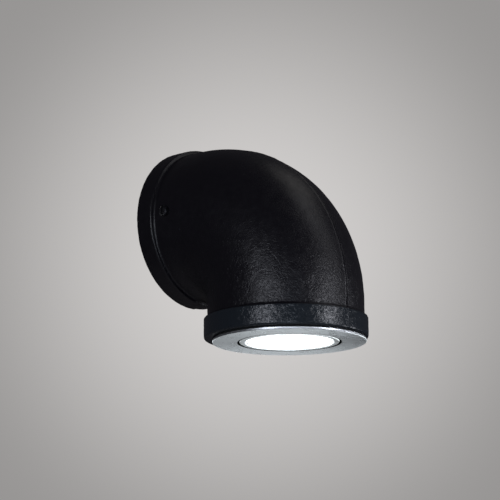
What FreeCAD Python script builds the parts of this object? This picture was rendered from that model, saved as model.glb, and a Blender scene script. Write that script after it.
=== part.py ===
import FreeCAD, Part
import math
import os

import Sketcher

# Industrial pipe wall light, in millimetres.
# Frame: origin at the centre of the elbow's wall-side end face, the wall is the plane y = 0,
# +Z is up, the elbow leaves the wall towards -Y and turns down, so the lamp faces -Z.

SIZES = {
    # Elbow casting: a banded 2 1/2 inch 90 degree malleable-iron pipe elbow.
    # The socket sets the fitting: wall, body and bands stand on it, and the lamp goes inside it.
    "bend_radius": 51.75,
    "socket_depth": 19.45,
    "socket_radius": 36.1,
    "socket_step": 1.7,
    "casting_wall": 5.6,
    "band_rise": 2.2,
    "band_length": 10.4,
    "shoulder_length": 2.4,
    "band_round": 1.6,
    "shoulder_round": 0.7,
    "seam_width": 2.0,
    "seam_height": 0.6,
    # Side screws that hold the elbow to the wall plate.
    "side_screw_reach": 19.7,
    "side_screw_height": 2.0,
    "side_screw_radius": 2.0,
    "side_head_radius": 3.1,
    "side_head_height": 2.0,
    "side_screw_length": 13.5,
    "spot_face_depth": 0.3,
    "screw_clearance": 0.05,
    # Wall plate: a disc inside the rear socket, two side tabs and a tongue for the driver.
    "plate_gap": 0.5,
    "plate_thickness": 2.0,
    "tab_inset": 1.4,
    "tab_width": 11.0,
    "tab_overhang": 6.0,
    "tongue_width": 22.0,
    "tongue_thickness": 2.0,
    "tongue_margin": 2.0,
    "slot_width": 16.0,
    "slot_start": 3.0,
    "slot_end": 8.5,
    "wall_hole_inset": 5.2,
    "wall_hole_radius": 2.3,
    # Cable entry and its grommet.
    "entry_x": -19.0,
    "entry_z": -14.0,
    "entry_radius": 4.25,
    "grommet_wall": 1.5,
    "grommet_lip": 1.3,
    "grommet_lip_thickness": 1.2,
    # Terminal block, with one pole each for line, neutral and earth.
    "block_x": 2.0,
    "block_top": -11.0,
    "block_height": 14.0,
    "block_depth": 12.0,
    "pole_pitch": 8.0,
    "pole_margin": 4.0,
    "wire_height": 3.2,
    "wire_radius": 1.1,
    "clamp_wall": 1.0,
    "clamp_length": 11.0,
    "clamp_screw_radius": 1.3,
    "clamp_screw_length": 5.0,
    "block_screw_radius": 1.25,
    "block_screw_head": 2.2,
    # Earth screw, star washer and ring terminal.
    "earth_side_inset": 13.6,
    "earth_low_inset": 14.6,
    "earth_screw_radius": 1.95,
    "earth_head_radius": 3.5,
    "earth_head_height": 2.0,
    "lug_thickness": 0.8,
    "lug_radius": 4.0,
    "lug_barrel_length": 5.0,
    "washer_thickness": 0.6,
    # LED driver on the tongue.
    "driver_width": 26.0,
    "driver_length": 42.0,
    "driver_height": 20.0,
    "driver_back": 12.0,
    "driver_wall": 1.5,
    "driver_lid": 1.6,
    "board_thickness": 1.6,
    "board_gap": 0.5,
    "board_lift": 3.0,
    "core_size": 13.0,
    "core_height": 10.0,
    "capacitor_radius": 4.0,
    "capacitor_length": 11.0,
    "strap_width": 4.5,
    "strap_thickness": 1.1,
    "strap_gap": 0.1,
    "link_bend": 6.0,
    # Downlight: position in the mouth, then heights measured up from its front face.
    "lamp_offset_x": 1.0,
    "lamp_offset_y": -1.5,
    "trim_inset": 3.0,
    "neck_clearance": 4.8,
    "flange_thickness": 1.2,
    "flange_round": 0.5,
    "gasket_thickness": 1.0,
    "gasket_clearance": 1.0,
    "gasket_inset": 1.4,
    "neck_wall": 2.5,
    "neck_height": 13.0,
    # Tilting lamp head.
    "bezel_gap": 1.2,
    "bezel_height": 12.0,
    "bezel_wall": 1.8,
    "window_inset": 1.1,
    "bezel_lip": 1.2,
    "pivot_height": 6.0,
    "pivot_radius": 1.5,
    "pivot_clearance": 0.05,
    "pivot_head_radius": 2.7,
    "pivot_head_height": 1.7,
    "pivot_washer_radius": 2.4,
    "pivot_washer_thickness": 0.6,
    "part_gap": 0.1,
    "glass_thickness": 1.5,
    "seal_thickness": 0.6,
    "seal_width": 1.6,
    "cell_margin": 3.6,
    "cell_gap": 1.13,
    "cell_foot": 3.6,
    "optic_height": 6.0,
    "holder_plate": 1.2,
    "emitter_size": 3.5,
    "emitter_height": 1.4,
    "led_board_inset": 1.8,
    "pad_thickness": 0.5,
    "sink_base": 3.6,
    "sink_core_radius": 7.0,
    "fin_height": 17.0,
    "fin_inset": 1.8,
    "fin_taper": 5.0,
    "fin_thickness": 1.2,
    "lead_radius": 1.9,
    "lead_upright": 12.0,
    "gland_wall": 1.2,
    "gland_flange": 1.2,
    "gland_depth": 6.0,
    "board_screw_radius": 1.2,
    "board_screw_head": 2.1,
    # Side clips: a sprung arm on a pin in two ears of the trim.
    "clip_pin_inset": 0.8,
    "clip_pin_height": 16.2,
    "clip_pin_radius": 1.0,
    "clip_pin_clearance": 0.05,
    "clip_arm_length": 13.0,
    "clip_arm_width": 8.0,
    "clip_arm_thickness": 0.8,
    "clip_eye_wall": 0.8,
    "clip_tip_radius": 1.3,
    "clip_wall_gap": 0.75,
    "ear_gap": 0.4,
    "ear_thickness": 1.2,
    "ear_reach": 2.2,
    "ear_root": 2.0,
    "spring_wire": 0.35,
    "spring_turns": 3,
    "spring_pitch": 1.15,
    "spring_gap": 0.3,
    "spring_leg": 7.0,
    "spring_foot": 2.0,
}

COLLIMATORS = 3
FINS = 20

# Shares: how one dimension of a small piece goes with another of the same piece.
PAN_ROUND = 0.6  # rounding of a pan head against its height
SLOT_SHARE = 0.4  # width of a screw's slot against its head's height or shank's radius
LIP_ROUND = 0.4  # rounding of the grommet's lip against its thickness
RIB_PLACES = (0.25, 0.75)  # the board's ribs along the driver
TRANSFORMER_PLACE = 0.62  # the transformer along the driver
CAPACITOR_PLACE = 0.26  # the capacitor along the driver
CORE_DEPTH = 0.55  # ferrite core's depth against its width
BOBBIN_WIDTH = 0.7  # bobbin's width against the core's
BOBBIN_HEIGHT = 0.9  # bobbin's height against the core's
TIE_HEAD = 1.4  # cable tie's head against its strap's width
TIE_HEAD_RISE = 3.5  # cable tie's head against its strap's thickness
RECESS_SHARE = 0.78  # recess for the LED against the lens's foot
SCREW_INSET = 1.6  # board screws in from the board's edge, in heads
SHANK_SHARE = 0.6  # board screw's depth in the heat sink's base
TAP_SHARE = 0.7  # depth of its tapped hole in the base
GLAND_SHARE = 0.8  # gland's flange against the heat sink's core
SLEEVE_SHARE = 2.5  # length of a clip tip's skirt in tip radii
NOTCH_SHARE = 2.2  # a clip arm's notch in eye radii, past both sides
PAST = 1.5  # a cutting tool's size against what it cuts through
BEND_SHARE = 0.45  # run on each side of a lead's corner that its arc takes up

doc = FreeCAD.newDocument("pipe_wall_light")
sheet = doc.addObject("Spreadsheet::Sheet", "Sheet")
SUBPARTS = []


class Size:
    """A length that knows its value and the sheet expression that gives it."""

    def __init__(self, value, text):
        self.value = float(value)
        self.text = text

    def _with(self, other, sign, swap=False):
        other = as_size(other)
        first, second = (other, self) if swap else (self, other)
        value = {
            "+": lambda a, b: a + b,
            "-": lambda a, b: a - b,
            "*": lambda a, b: a * b,
            "/": lambda a, b: a / b,
        }[sign](first.value, second.value)
        return Size(value, f"({first.text} {sign} {second.text})")

    def __add__(self, other):
        return self._with(other, "+")

    def __radd__(self, other):
        return self._with(other, "+", swap=True)

    def __sub__(self, other):
        return self._with(other, "-")

    def __rsub__(self, other):
        return self._with(other, "-", swap=True)

    def __mul__(self, other):
        return self._with(other, "*")

    def __rmul__(self, other):
        return self._with(other, "*", swap=True)

    def __truediv__(self, other):
        return self._with(other, "/")

    def __neg__(self):
        return self._with(-1, "*")


def as_size(number):
    """A plain number as a Size, and a Size as it is."""
    return number if isinstance(number, Size) else Size(number, repr(round(float(number), 9)))


class Sheet:
    """Every driving size by its alias, as a Size."""

    def __init__(self):
        for row, (alias, number) in enumerate(SIZES.items(), start=1):
            sheet.set(f"A{row}", alias)
            sheet.set(f"B{row}", str(number))
            sheet.setAlias(f"B{row}", alias)
            setattr(self, alias, Size(number, f"Sheet.{alias}"))


S = Sheet()
doc.recompute()

TURN = {
    "X": FreeCAD.Rotation(FreeCAD.Vector(0, 1, 0), 90),
    "Y": FreeCAD.Rotation(FreeCAD.Vector(1, 0, 0), -90),
    "Z": FreeCAD.Rotation(),
}


# ---------------------------------------------------------------- shared forms


def bind(item, name, size):
    """Set a property to a size and keep it bound to the sheet."""
    size = as_size(size)
    if name in item.PropertiesList:
        setattr(item, name, size.value)
    item.setExpression(name, size.text)


def place(item, base, rotation):
    """Put an object at a base of three sizes, bound to the sheet, with a rotation."""
    base = [as_size(size) for size in base]
    item.Placement = FreeCAD.Placement(FreeCAD.Vector(*(size.value for size in base)), rotation)
    for letter, size in zip("xyz", base):
        item.setExpression(f".Placement.Base.{letter}", size.text)
    return item


def along(axis, centre, start):
    """The base point of a round piece that starts at `start` on its axis.

    `centre` holds its two other coordinates, in X, Y, Z order."""
    spot = list(centre)
    spot.insert("XYZ".index(axis), start)
    return spot


def rod(name, axis, centre, start, end, radius):
    """A cylinder from start to end along a row axis."""
    item = doc.addObject("Part::Cylinder", name)
    bind(item, "Radius", radius)
    bind(item, "Height", as_size(end) - start)
    return place(item, along(axis, centre, start), TURN[axis])


def cone(name, axis, centre, start, end, first, last):
    """A cone from radius `first` at start to radius `last` at end."""
    item = doc.addObject("Part::Cone", name)
    bind(item, "Radius1", first)
    bind(item, "Radius2", last)
    bind(item, "Height", as_size(end) - start)
    return place(item, along(axis, centre, start), TURN[axis])


def box(name, x, y, z):
    """A box between two corners, given as (low, high) in each direction."""
    item = doc.addObject("Part::Box", name)
    for size, (low, high) in zip(("Length", "Width", "Height"), (x, y, z)):
        bind(item, size, as_size(high) - low)
    return place(item, (x[0], y[0], z[0]), FreeCAD.Rotation())


def about(middle, width):
    """The (low, high) pair of a width about a middle."""
    middle = as_size(middle)
    return (middle - as_size(width) / 2, middle + as_size(width) / 2)


def fuse(name, *items):
    """One solid from several that meet."""
    item = doc.addObject("Part::MultiFuse", name)
    item.Shapes = list(items)
    item.Refine = True
    return item


def group(name, *items):
    """Separate solids kept in one node."""
    item = doc.addObject("Part::Compound", name)
    item.Links = list(items)
    return item


def cut(name, base, *tools):
    """Base less its tools."""
    item = doc.addObject("Part::Cut", name)
    item.Base = base
    item.Tool = tools[0] if len(tools) == 1 else fuse(f"{name}_tools", *tools)
    return item


def ring(name, axis, centre, start, end, inner, outer):
    """A plain tube from start to end along a row axis."""
    blank = rod(f"{name}_blank", axis, centre, start, end, outer)
    bore = rod(f"{name}_bore", axis, centre, start, end, inner)
    return cut(name, blank, bore)


def origin_feature(body, role):
    """A body's own plane or axis."""
    return next(item for item in body.Origin.OriginFeatures if item.Role == role)


def profile(body, points):
    """A closed sketch on the body's XZ plane through (x, z) points, each bound to the sheet."""
    sketch = body.newObject("Sketcher::SketchObject", f"{body.Name}_profile")
    sketch.AttachmentSupport = [(origin_feature(body, "XZ_Plane"), "")]
    sketch.MapMode = "FlatFace"
    points = [(as_size(x), as_size(z)) for x, z in points]
    spots = [FreeCAD.Vector(x.value, z.value, 0) for x, z in points]
    count = len(points)
    for i in range(count):
        sketch.addGeometry(Part.LineSegment(spots[i], spots[(i + 1) % count]))
    for i in range(count):
        sketch.addConstraint(Sketcher.Constraint("Coincident", i, 2, (i + 1) % count, 1))
    for i, (x, z) in enumerate(points):
        for kind, size in (("DistanceX", x), ("DistanceY", z)):
            held = sketch.addConstraint(Sketcher.Constraint(kind, -1, 1, i, 1, size.value))
            sketch.setExpression(f"Constraints[{held}]", size.text)
    return sketch


def turned(name, points, axis="Z", base=(0, 0, 0)):
    """A body turned from an (r, height) profile about its own axis, placed along a row axis."""
    body = doc.addObject("PartDesign::Body", name)
    sketch = profile(body, points)
    feature = body.newObject("PartDesign::Revolution", f"{name}_turn")
    feature.Profile = sketch
    feature.ReferenceAxis = (sketch, ["V_Axis"])
    feature.Angle = 360
    place(body, base, TURN[axis])
    doc.recompute()
    return body


def rounded(body, name, radius, *corners):
    """Round a turned body's circular edges at the given (r, height) corners."""
    base = body.Tip
    feature = body.newObject("PartDesign::Fillet", f"{body.Name}_{name}")
    picked = []
    for number, edge in enumerate(base.Shape.Edges, start=1):
        spot = edge.Vertexes[0].Point
        here = (math.hypot(spot.x, spot.y), spot.z)
        if any(math.dist(here, [as_size(c).value for c in corner]) < 1e-4 for corner in corners):
            if isinstance(edge.Curve, Part.Circle):
                picked.append(f"Edge{number}")
    feature.Base = (base, picked)
    bind(feature, "Radius", radius)
    body.Tip = feature
    doc.recompute()
    return body


def tube(name, points, bends, radius):
    """A wire or lead: straight runs through points, joined by tangent arcs of the given radii."""
    spots = [FreeCAD.Vector(*(as_size(c).value for c in point)) for point in points]
    edges = []
    here = spots[0]
    for before, corner, after, bend in zip(spots, spots[1:], spots[2:], bends):
        inward = (before - corner).normalize()
        onward = (after - corner).normalize()
        half = inward.getAngle(onward) / 2
        reach = as_size(bend).value / math.tan(half)
        start = corner + inward * reach
        end = corner + onward * reach
        middle_line = (inward + onward).normalize()
        centre = corner + middle_line * (as_size(bend).value / math.sin(half))
        middle = centre - middle_line * as_size(bend).value
        if (start - here).Length > 1e-6:
            edges.append(Part.LineSegment(here, start).toShape())
        edges.append(Part.Arc(start, middle, end).toShape())
        here = end
    if (spots[-1] - here).Length > 1e-6:
        edges.append(Part.LineSegment(here, spots[-1]).toShape())
    return piped(name, edges, spots[1] - spots[0], radius)


def piped(name, edges, heading, radius):
    """A round wire swept along joined edges that set off in a heading."""
    path = Part.Wire(edges)
    circle = Part.Circle(edges[0].Vertexes[0].Point, heading, as_size(radius).value)
    item = doc.addObject("Part::Feature", name)
    item.Shape = path.makePipeShell([Part.Wire([circle.toShape()])], True, False)
    print(f"{name}: length {path.Length:.1f} mm, volume {item.Shape.Volume:.1f} mm3, "
          f"section times length {math.pi * as_size(radius).value ** 2 * path.Length:.1f} mm3")
    return item


def keep(item, label):
    """Name a finished sub-part."""
    item.Label = label
    SUBPARTS.append(item)
    return item


# ---------------------------------------------------------------- shared places

STRAIGHT = S.socket_depth
CENTRE_TO_END = S.bend_radius + STRAIGHT
CAVITY_RADIUS = S.socket_radius + S.socket_step
BODY_RADIUS = CAVITY_RADIUS + S.casting_wall
BAND_RADIUS = BODY_RADIUS + S.band_rise
PLATE_RADIUS = S.socket_radius - S.plate_gap
PLATE_FRONT = -S.plate_thickness
TAB_FACE = PLATE_RADIUS - S.tab_inset
WALL_HOLE_X = TAB_FACE - S.plate_thickness - S.wall_hole_inset
EARTH_X = PLATE_RADIUS - S.earth_side_inset
EARTH_Z = S.earth_low_inset - PLATE_RADIUS
MOUTH = -CENTRE_TO_END
FACE = MOUTH - S.gasket_thickness - S.flange_thickness
LAMP_X = S.lamp_offset_x
LAMP_Y = S.lamp_offset_y - CENTRE_TO_END
LAMP = (LAMP_X, LAMP_Y)
PIVOT_Z = FACE + S.pivot_height
TRIM_RADIUS = BAND_RADIUS - S.trim_inset
NECK_RADIUS = S.socket_radius - S.neck_clearance
TRIM_OPENING = NECK_RADIUS - S.neck_wall
BEZEL_RADIUS = TRIM_OPENING - S.bezel_gap
BEZEL_BORE = BEZEL_RADIUS - S.bezel_wall
LED_BOARD_RADIUS = BEZEL_BORE - S.led_board_inset
CLIP_PIN_X = NECK_RADIUS - S.clip_pin_inset
WIRE_Y = PLATE_FRONT - S.wire_height
POLES = [S.block_x - S.pole_pitch, S.block_x, S.block_x + S.pole_pitch]
DRIVER_BOTTOM = S.tongue_thickness / 2
DRIVER_TOP = DRIVER_BOTTOM + S.driver_height
DRIVER_FRONT = -S.driver_back - S.driver_length
TONGUE_FRONT = DRIVER_FRONT - S.tongue_margin
LINK_HEIGHT = DRIVER_BOTTOM + S.driver_height / 2


# ---------------------------------------------------------------- elbow


def bend(name, radius, sweep=90):
    """The quarter of a torus that joins the wall run to the mouth run."""
    item = doc.addObject("Part::Torus", name)
    bind(item, "Radius1", S.bend_radius)
    bind(item, "Radius2", radius)
    item.Angle3 = sweep
    up, forward, side = FreeCAD.Vector(0, 0, 1), FreeCAD.Vector(0, -1, 0), FreeCAD.Vector(1, 0, 0)
    up_forward = FreeCAD.Rotation(up, forward, side, "XYZ")
    return place(item, (0, -STRAIGHT, -S.bend_radius), up_forward)


def band(name, axis, base, outward):
    """A raised end band: full radius, then a sloped shoulder down to the body."""
    root = CAVITY_RADIUS
    face = as_size(0)
    shoulder = -outward * S.band_length
    end = -outward * (S.band_length + S.shoulder_length)
    body = turned(
        name,
        [(root, face), (BAND_RADIUS, face), (BAND_RADIUS, shoulder), (BODY_RADIUS, end), (root, end)],
        axis,
        base,
    )
    rounded(body, "lip", S.band_round, (BAND_RADIUS, face))
    return rounded(body, "shoulder", S.shoulder_round, (BAND_RADIUS, shoulder))


def seam(name):
    """The parting-line ridge in the plane x = 0, along the crown and the throat."""
    crown = S.bend_radius + BODY_RADIUS + S.seam_height
    throat = S.bend_radius - BODY_RADIUS - S.seam_height
    side = TURN["X"]
    disc = doc.addObject("Part::Cylinder", f"{name}_crown")
    bind(disc, "Radius", crown)
    bind(disc, "Height", S.seam_width)
    place(disc, (-S.seam_width / 2, -STRAIGHT, -S.bend_radius), side)
    hole = doc.addObject("Part::Cylinder", f"{name}_throat")
    bind(hole, "Radius", throat)
    bind(hole, "Height", S.seam_width)
    place(hole, (-S.seam_width / 2, -STRAIGHT, -S.bend_radius), side)
    quarter = box(
        f"{name}_quarter",
        about(0, S.seam_width),
        (-CENTRE_TO_END - BODY_RADIUS - S.seam_height, -STRAIGHT),
        (-S.bend_radius, BODY_RADIUS + S.seam_height),
    )
    plate = cut(f"{name}_plate", disc, hole)
    turn = doc.addObject("Part::Common", f"{name}_turn")
    turn.Base = plate
    turn.Tool = quarter
    ridge = about(0, (BODY_RADIUS + S.seam_height) * 2)
    rear = box(f"{name}_rear", about(0, S.seam_width), (-STRAIGHT, 0), ridge)
    mouth = box(
        f"{name}_mouth",
        about(0, S.seam_width),
        about(-CENTRE_TO_END, (BODY_RADIUS + S.seam_height) * 2),
        (MOUTH, -S.bend_radius),
    )
    return [turn, rear, mouth]


def elbow_casting():
    """The cast elbow with its bands, cavity, two sockets, parting line and side screw holes."""
    centre = (0, 0)
    mouth_centre = (0, -CENTRE_TO_END)
    outer = fuse(
        "elbow_outer",
        rod("elbow_rear", "Y", centre, -STRAIGHT, 0, BODY_RADIUS),
        bend("elbow_bend", BODY_RADIUS),
        rod("elbow_mouth", "Z", mouth_centre, MOUTH, -S.bend_radius, BODY_RADIUS),
        band("elbow_rear_band", "Y", (0, 0, 0), 1),
        band("elbow_mouth_band", "Z", (0, -CENTRE_TO_END, MOUTH), -1),
        *seam("elbow_seam"),
    )
    screw = S.side_screw_radius + S.screw_clearance * 4
    spot = S.side_head_radius + S.screw_clearance * 4
    seat = BODY_RADIUS - S.spot_face_depth
    at = (-S.side_screw_reach, S.side_screw_height)
    hollow = fuse(
        "elbow_hollow",
        rod("elbow_rear_socket", "Y", centre, -STRAIGHT, 0, S.socket_radius),
        bend("elbow_cavity", CAVITY_RADIUS),
        rod("elbow_mouth_socket", "Z", mouth_centre, MOUTH, -S.bend_radius, S.socket_radius),
    )
    clear = BODY_RADIUS + S.side_head_height
    holes = [
        rod("elbow_screw_hole", "X", at, -clear, clear, screw),
        rod("elbow_spot_left", "X", at, -clear, -seat, spot),
        rod("elbow_spot_right", "X", at, seat, clear, spot),
    ]
    return keep(cut("elbow", cut("elbow_shell", outer, hollow), *holes), "elbow_casting")


def side_screws():
    """Two pan-head screws through the elbow's sides into the plate's tabs."""
    at = (-S.side_screw_reach, S.side_screw_height)
    seat = BODY_RADIUS - S.spot_face_depth
    tip = seat - S.side_screw_length
    screws = []
    for side, sign in (("left", -1), ("right", 1)):
        points = [
            (0, tip),
            (S.side_screw_radius, tip),
            (S.side_screw_radius, seat),
            (S.side_head_radius, seat),
            (S.side_head_radius, seat + S.side_head_height),
            (0, seat + S.side_head_height),
        ]
        screw = turned(f"side_screw_{side}", [(r, height * sign) for r, height in points], "X", (0, *at))
        rounded(screw, "crown", S.side_head_height * PAN_ROUND, (S.side_head_radius, points[4][1] * sign))
        slot = box(
            f"side_screw_slot_{side}",
            about((seat + S.side_head_height) * sign, S.side_head_height),
            about(-S.side_screw_reach, S.side_head_height * SLOT_SHARE),
            about(S.side_screw_height, S.side_head_radius * 2 * PAST),
        )
        screws.append(cut(f"side_screw_slotted_{side}", screw, slot))
    return keep(group("side_screw_pair", *screws), "side_screws")


# ---------------------------------------------------------------- wall plate and its fittings


def wall_plate():
    """Steel plate in the rear socket, with two threaded side tabs and a tongue for the driver."""
    disc = rod("plate_disc", "Y", (0, 0), PLATE_FRONT, 0, PLATE_RADIUS)
    flats = box("plate_flats", about(0, TAB_FACE * 2), about(0, PLATE_RADIUS * 2), about(0, PLATE_RADIUS * 2))
    base = doc.addObject("Part::Common", "plate_base")
    base.Base = disc
    base.Tool = flats
    tab_reach = -S.side_screw_reach - S.tab_overhang
    tabs = [
        box(
            f"plate_tab_{side}",
            (low, low + S.plate_thickness),
            (tab_reach, 0),
            about(S.side_screw_height, S.tab_width),
        )
        for side, low in (("left", -TAB_FACE), ("right", TAB_FACE - S.plate_thickness))
    ]
    tongue = box(
        "plate_tongue",
        about(0, S.tongue_width),
        (TONGUE_FRONT, 0),
        about(0, S.tongue_thickness),
    )
    body = fuse("plate_folded", base, *tabs, tongue)
    holes = [
        box(
            "plate_slot",
            about(0, S.slot_width),
            (-S.slot_end, -S.slot_start),
            about(0, S.tongue_thickness * 2),
        ),
        rod(
            "plate_side_thread",
            "X",
            (-S.side_screw_reach, S.side_screw_height),
            -TAB_FACE,
            TAB_FACE,
            S.side_screw_radius + S.screw_clearance,
        ),
        plate_hole("plate_entry", (S.entry_x, S.entry_z), S.entry_radius + S.grommet_wall),
        plate_hole("plate_earth", (EARTH_X, EARTH_Z), S.earth_screw_radius + S.screw_clearance),
        plate_hole("plate_block", block_screw_spot(), S.block_screw_radius + S.screw_clearance),
        plate_hole("plate_wall_left", (-WALL_HOLE_X, 0), S.wall_hole_radius),
        plate_hole("plate_wall_right", (WALL_HOLE_X, 0), S.wall_hole_radius),
    ]
    return keep(cut("plate", body, *holes), "wall_plate")


def plate_hole(name, at, radius):
    """A hole through the wall plate's disc."""
    return rod(name, "Y", at, PLATE_FRONT * PAST, S.plate_thickness / 2, radius)


def cable_grommet():
    """Rubber grommet gripping the edge of the cable hole."""
    inner = S.entry_radius
    waist = S.entry_radius + S.grommet_wall
    lip = waist + S.grommet_lip
    front = PLATE_FRONT - S.grommet_lip_thickness
    body = turned(
        "grommet",
        [(inner, front), (lip, front), (lip, PLATE_FRONT), (waist, PLATE_FRONT), (waist, 0), (inner, 0)],
        "Y",
        (S.entry_x, 0, S.entry_z),
    )
    rounded(body, "lip", S.grommet_lip_thickness * LIP_ROUND, (lip, front))
    return keep(body, "cable_grommet")


def block_middle():
    """Height of the terminal block's middle."""
    return S.block_top - S.block_height / 2


def block_screw_spot():
    """Where the block's fixing screw enters the plate: between two poles."""
    return (S.block_x - S.pole_pitch / 2, block_middle())


def terminal_block():
    """Three-pole insulated terminal block on the plate."""
    width = S.pole_pitch * 2 + S.pole_margin * 2
    front = PLATE_FRONT - S.block_depth
    blank = box(
        "block_blank",
        about(S.block_x, width),
        (front, PLATE_FRONT),
        (S.block_top - S.block_height, S.block_top),
    )
    bores = [
        rod(
            f"block_bore_{i}",
            "Z",
            (pole, WIRE_Y),
            S.block_top - S.block_height,
            S.block_top,
            clamp_radius() + S.part_gap,
        )
        for i, pole in enumerate(POLES)
    ]
    shafts = [
        rod(
            f"block_shaft_{i}_{j}",
            "Y",
            (pole, block_middle() + offset),
            front,
            WIRE_Y,
            S.clamp_screw_radius + S.part_gap,
        )
        for i, pole in enumerate(POLES)
        for j, offset in enumerate(clamp_screw_offsets())
    ]
    x, z = block_screw_spot()
    fixing = rod("block_fixing", "Y", (x, z), front, PLATE_FRONT, S.block_screw_radius + S.screw_clearance)
    sink = rod("block_sink", "Y", (x, z), front, front + S.block_depth / 4, S.block_screw_head + S.part_gap)
    return keep(cut("block", blank, *bores, *shafts, fixing, sink), "terminal_block")


def clamp_radius():
    """Outer radius of a pole's brass tube."""
    return S.wire_radius + S.part_gap + S.clamp_wall


def clamp_screw_offsets():
    """Heights of a pole's two clamp screws about the block's middle."""
    return (-S.block_height / 4, S.block_height / 4)


def terminal_clamps():
    """Brass tubes in the block that hold the wire ends."""
    tubes = []
    for i, pole in enumerate(POLES):
        low, high = about(block_middle(), S.clamp_length)
        blank = ring(f"clamp_{i}", "Z", (pole, WIRE_Y), low, high, S.wire_radius + S.part_gap, clamp_radius())
        taps = [
            rod(
                f"clamp_tap_{i}_{j}",
                "Y",
                (pole, block_middle() + offset),
                WIRE_Y - clamp_radius(),
                WIRE_Y,
                S.clamp_screw_radius + S.screw_clearance,
            )
            for j, offset in enumerate(clamp_screw_offsets())
        ]
        tubes.append(cut(f"clamp_tapped_{i}", blank, *taps))
    return keep(group("clamps", *tubes), "terminal_clamps")


def terminal_screws():
    """Two clamp screws to each pole, seated just clear of the wire."""
    screws = []
    seat = WIRE_Y - S.wire_radius - S.part_gap
    for i, pole in enumerate(POLES):
        for j, offset in enumerate(clamp_screw_offsets()):
            spot = (pole, block_middle() + offset)
            shank = rod(
                f"clamp_screw_{i}_{j}",
                "Y",
                spot,
                seat - S.clamp_screw_length,
                seat,
                S.clamp_screw_radius,
            )
            slot = box(
                f"clamp_slot_{i}_{j}",
                about(pole, S.clamp_screw_radius * 2 * PAST),
                about(seat - S.clamp_screw_length, S.clamp_screw_radius),
                about(spot[1], S.clamp_screw_radius * SLOT_SHARE),
            )
            screws.append(cut(f"clamp_screw_slotted_{i}_{j}", shank, slot))
    return keep(group("clamp_screws", *screws), "terminal_screws")


def terminal_fixing_screw():
    """Screw that holds the block to the plate."""
    x, z = block_screw_spot()
    seat = PLATE_FRONT - S.block_depth + S.block_depth / 4
    shank = rod("block_screw_shank", "Y", (x, z), seat, 0, S.block_screw_radius)
    head = rod("block_screw_head", "Y", (x, z), seat - S.block_screw_radius, seat, S.block_screw_head)
    return keep(fuse("block_screw", shank, head), "terminal_fixing_screw")


def lug_top():
    """Height where the earth wire leaves the ring terminal's barrel."""
    return EARTH_Z + S.lug_radius + S.lug_barrel_length


def ring_terminal():
    """Ring terminal: a flat eye under the earth screw and a crimped barrel above it."""
    back = PLATE_FRONT - S.lug_thickness
    at = (EARTH_X, EARTH_Z)
    eye = rod("lug_eye", "Y", at, back, PLATE_FRONT, S.lug_radius)
    barrel_outer = S.wire_height
    neck = box(
        "lug_neck",
        about(EARTH_X, barrel_outer),
        (back, PLATE_FRONT),
        (EARTH_Z, EARTH_Z + S.lug_radius + S.lug_thickness),
    )
    barrel = rod(
        "lug_barrel",
        "Z",
        (EARTH_X, WIRE_Y),
        EARTH_Z + S.lug_radius,
        lug_top(),
        barrel_outer,
    )
    trim = box(
        "lug_trim",
        about(EARTH_X, barrel_outer * 2),
        (WIRE_Y - barrel_outer, PLATE_FRONT),
        (EARTH_Z, lug_top()),
    )
    barrel_body = doc.addObject("Part::Common", "lug_barrel_body")
    barrel_body.Base = barrel
    barrel_body.Tool = trim
    bore = rod("lug_bore", "Z", (EARTH_X, WIRE_Y), EARTH_Z + S.lug_radius, lug_top(), S.wire_radius)
    hole = rod("lug_hole", "Y", at, back, PLATE_FRONT, S.earth_screw_radius + S.screw_clearance)
    return keep(cut("lug", fuse("lug_solid", eye, neck, barrel_body), bore, hole), "earth_ring_terminal")


def earth_screw():
    """Earth screw in the plate, over a star washer and the ring terminal."""
    at = (EARTH_X, EARTH_Z)
    seat = PLATE_FRONT - S.lug_thickness - S.washer_thickness
    shank = rod("earth_shank", "Y", at, seat, 0, S.earth_screw_radius)
    head = rod("earth_head", "Y", at, seat - S.earth_head_height, seat, S.earth_head_radius)
    slot = box(
        "earth_slot",
        about(EARTH_X, S.earth_head_radius * 2 * PAST),
        about(seat - S.earth_head_height, S.earth_head_height),
        about(EARTH_Z, S.earth_head_height * SLOT_SHARE),
    )
    return keep(cut("earth_screw_slotted", fuse("earth_screw_blank", shank, head), slot), "earth_screw")


def earth_washer():
    """Washer under the earth screw's head."""
    seat = PLATE_FRONT - S.lug_thickness
    at = (EARTH_X, EARTH_Z)
    inner = S.earth_screw_radius + S.screw_clearance
    washer = ring("earth_washer_ring", "Y", at, seat - S.washer_thickness, seat, inner, S.earth_head_radius)
    return keep(washer, "earth_washer")


def earth_wire():
    """Earth wire: up out of the block, over in a half circle and down into the ring terminal."""
    start = S.block_top - S.block_height / 2 + S.part_gap
    span = EARTH_X - POLES[2]
    top = lug_top() + S.part_gap * 10
    radius = span / 2
    points = [
        (POLES[2], WIRE_Y, start),
        (POLES[2], WIRE_Y, top + radius),
        (EARTH_X, WIRE_Y, top + radius),
        (EARTH_X, WIRE_Y, EARTH_Z + S.lug_radius),
    ]
    return keep(tube("earth_wire_run", points, [radius, radius], S.wire_radius), "earth_wire")


# ---------------------------------------------------------------- driver


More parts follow.
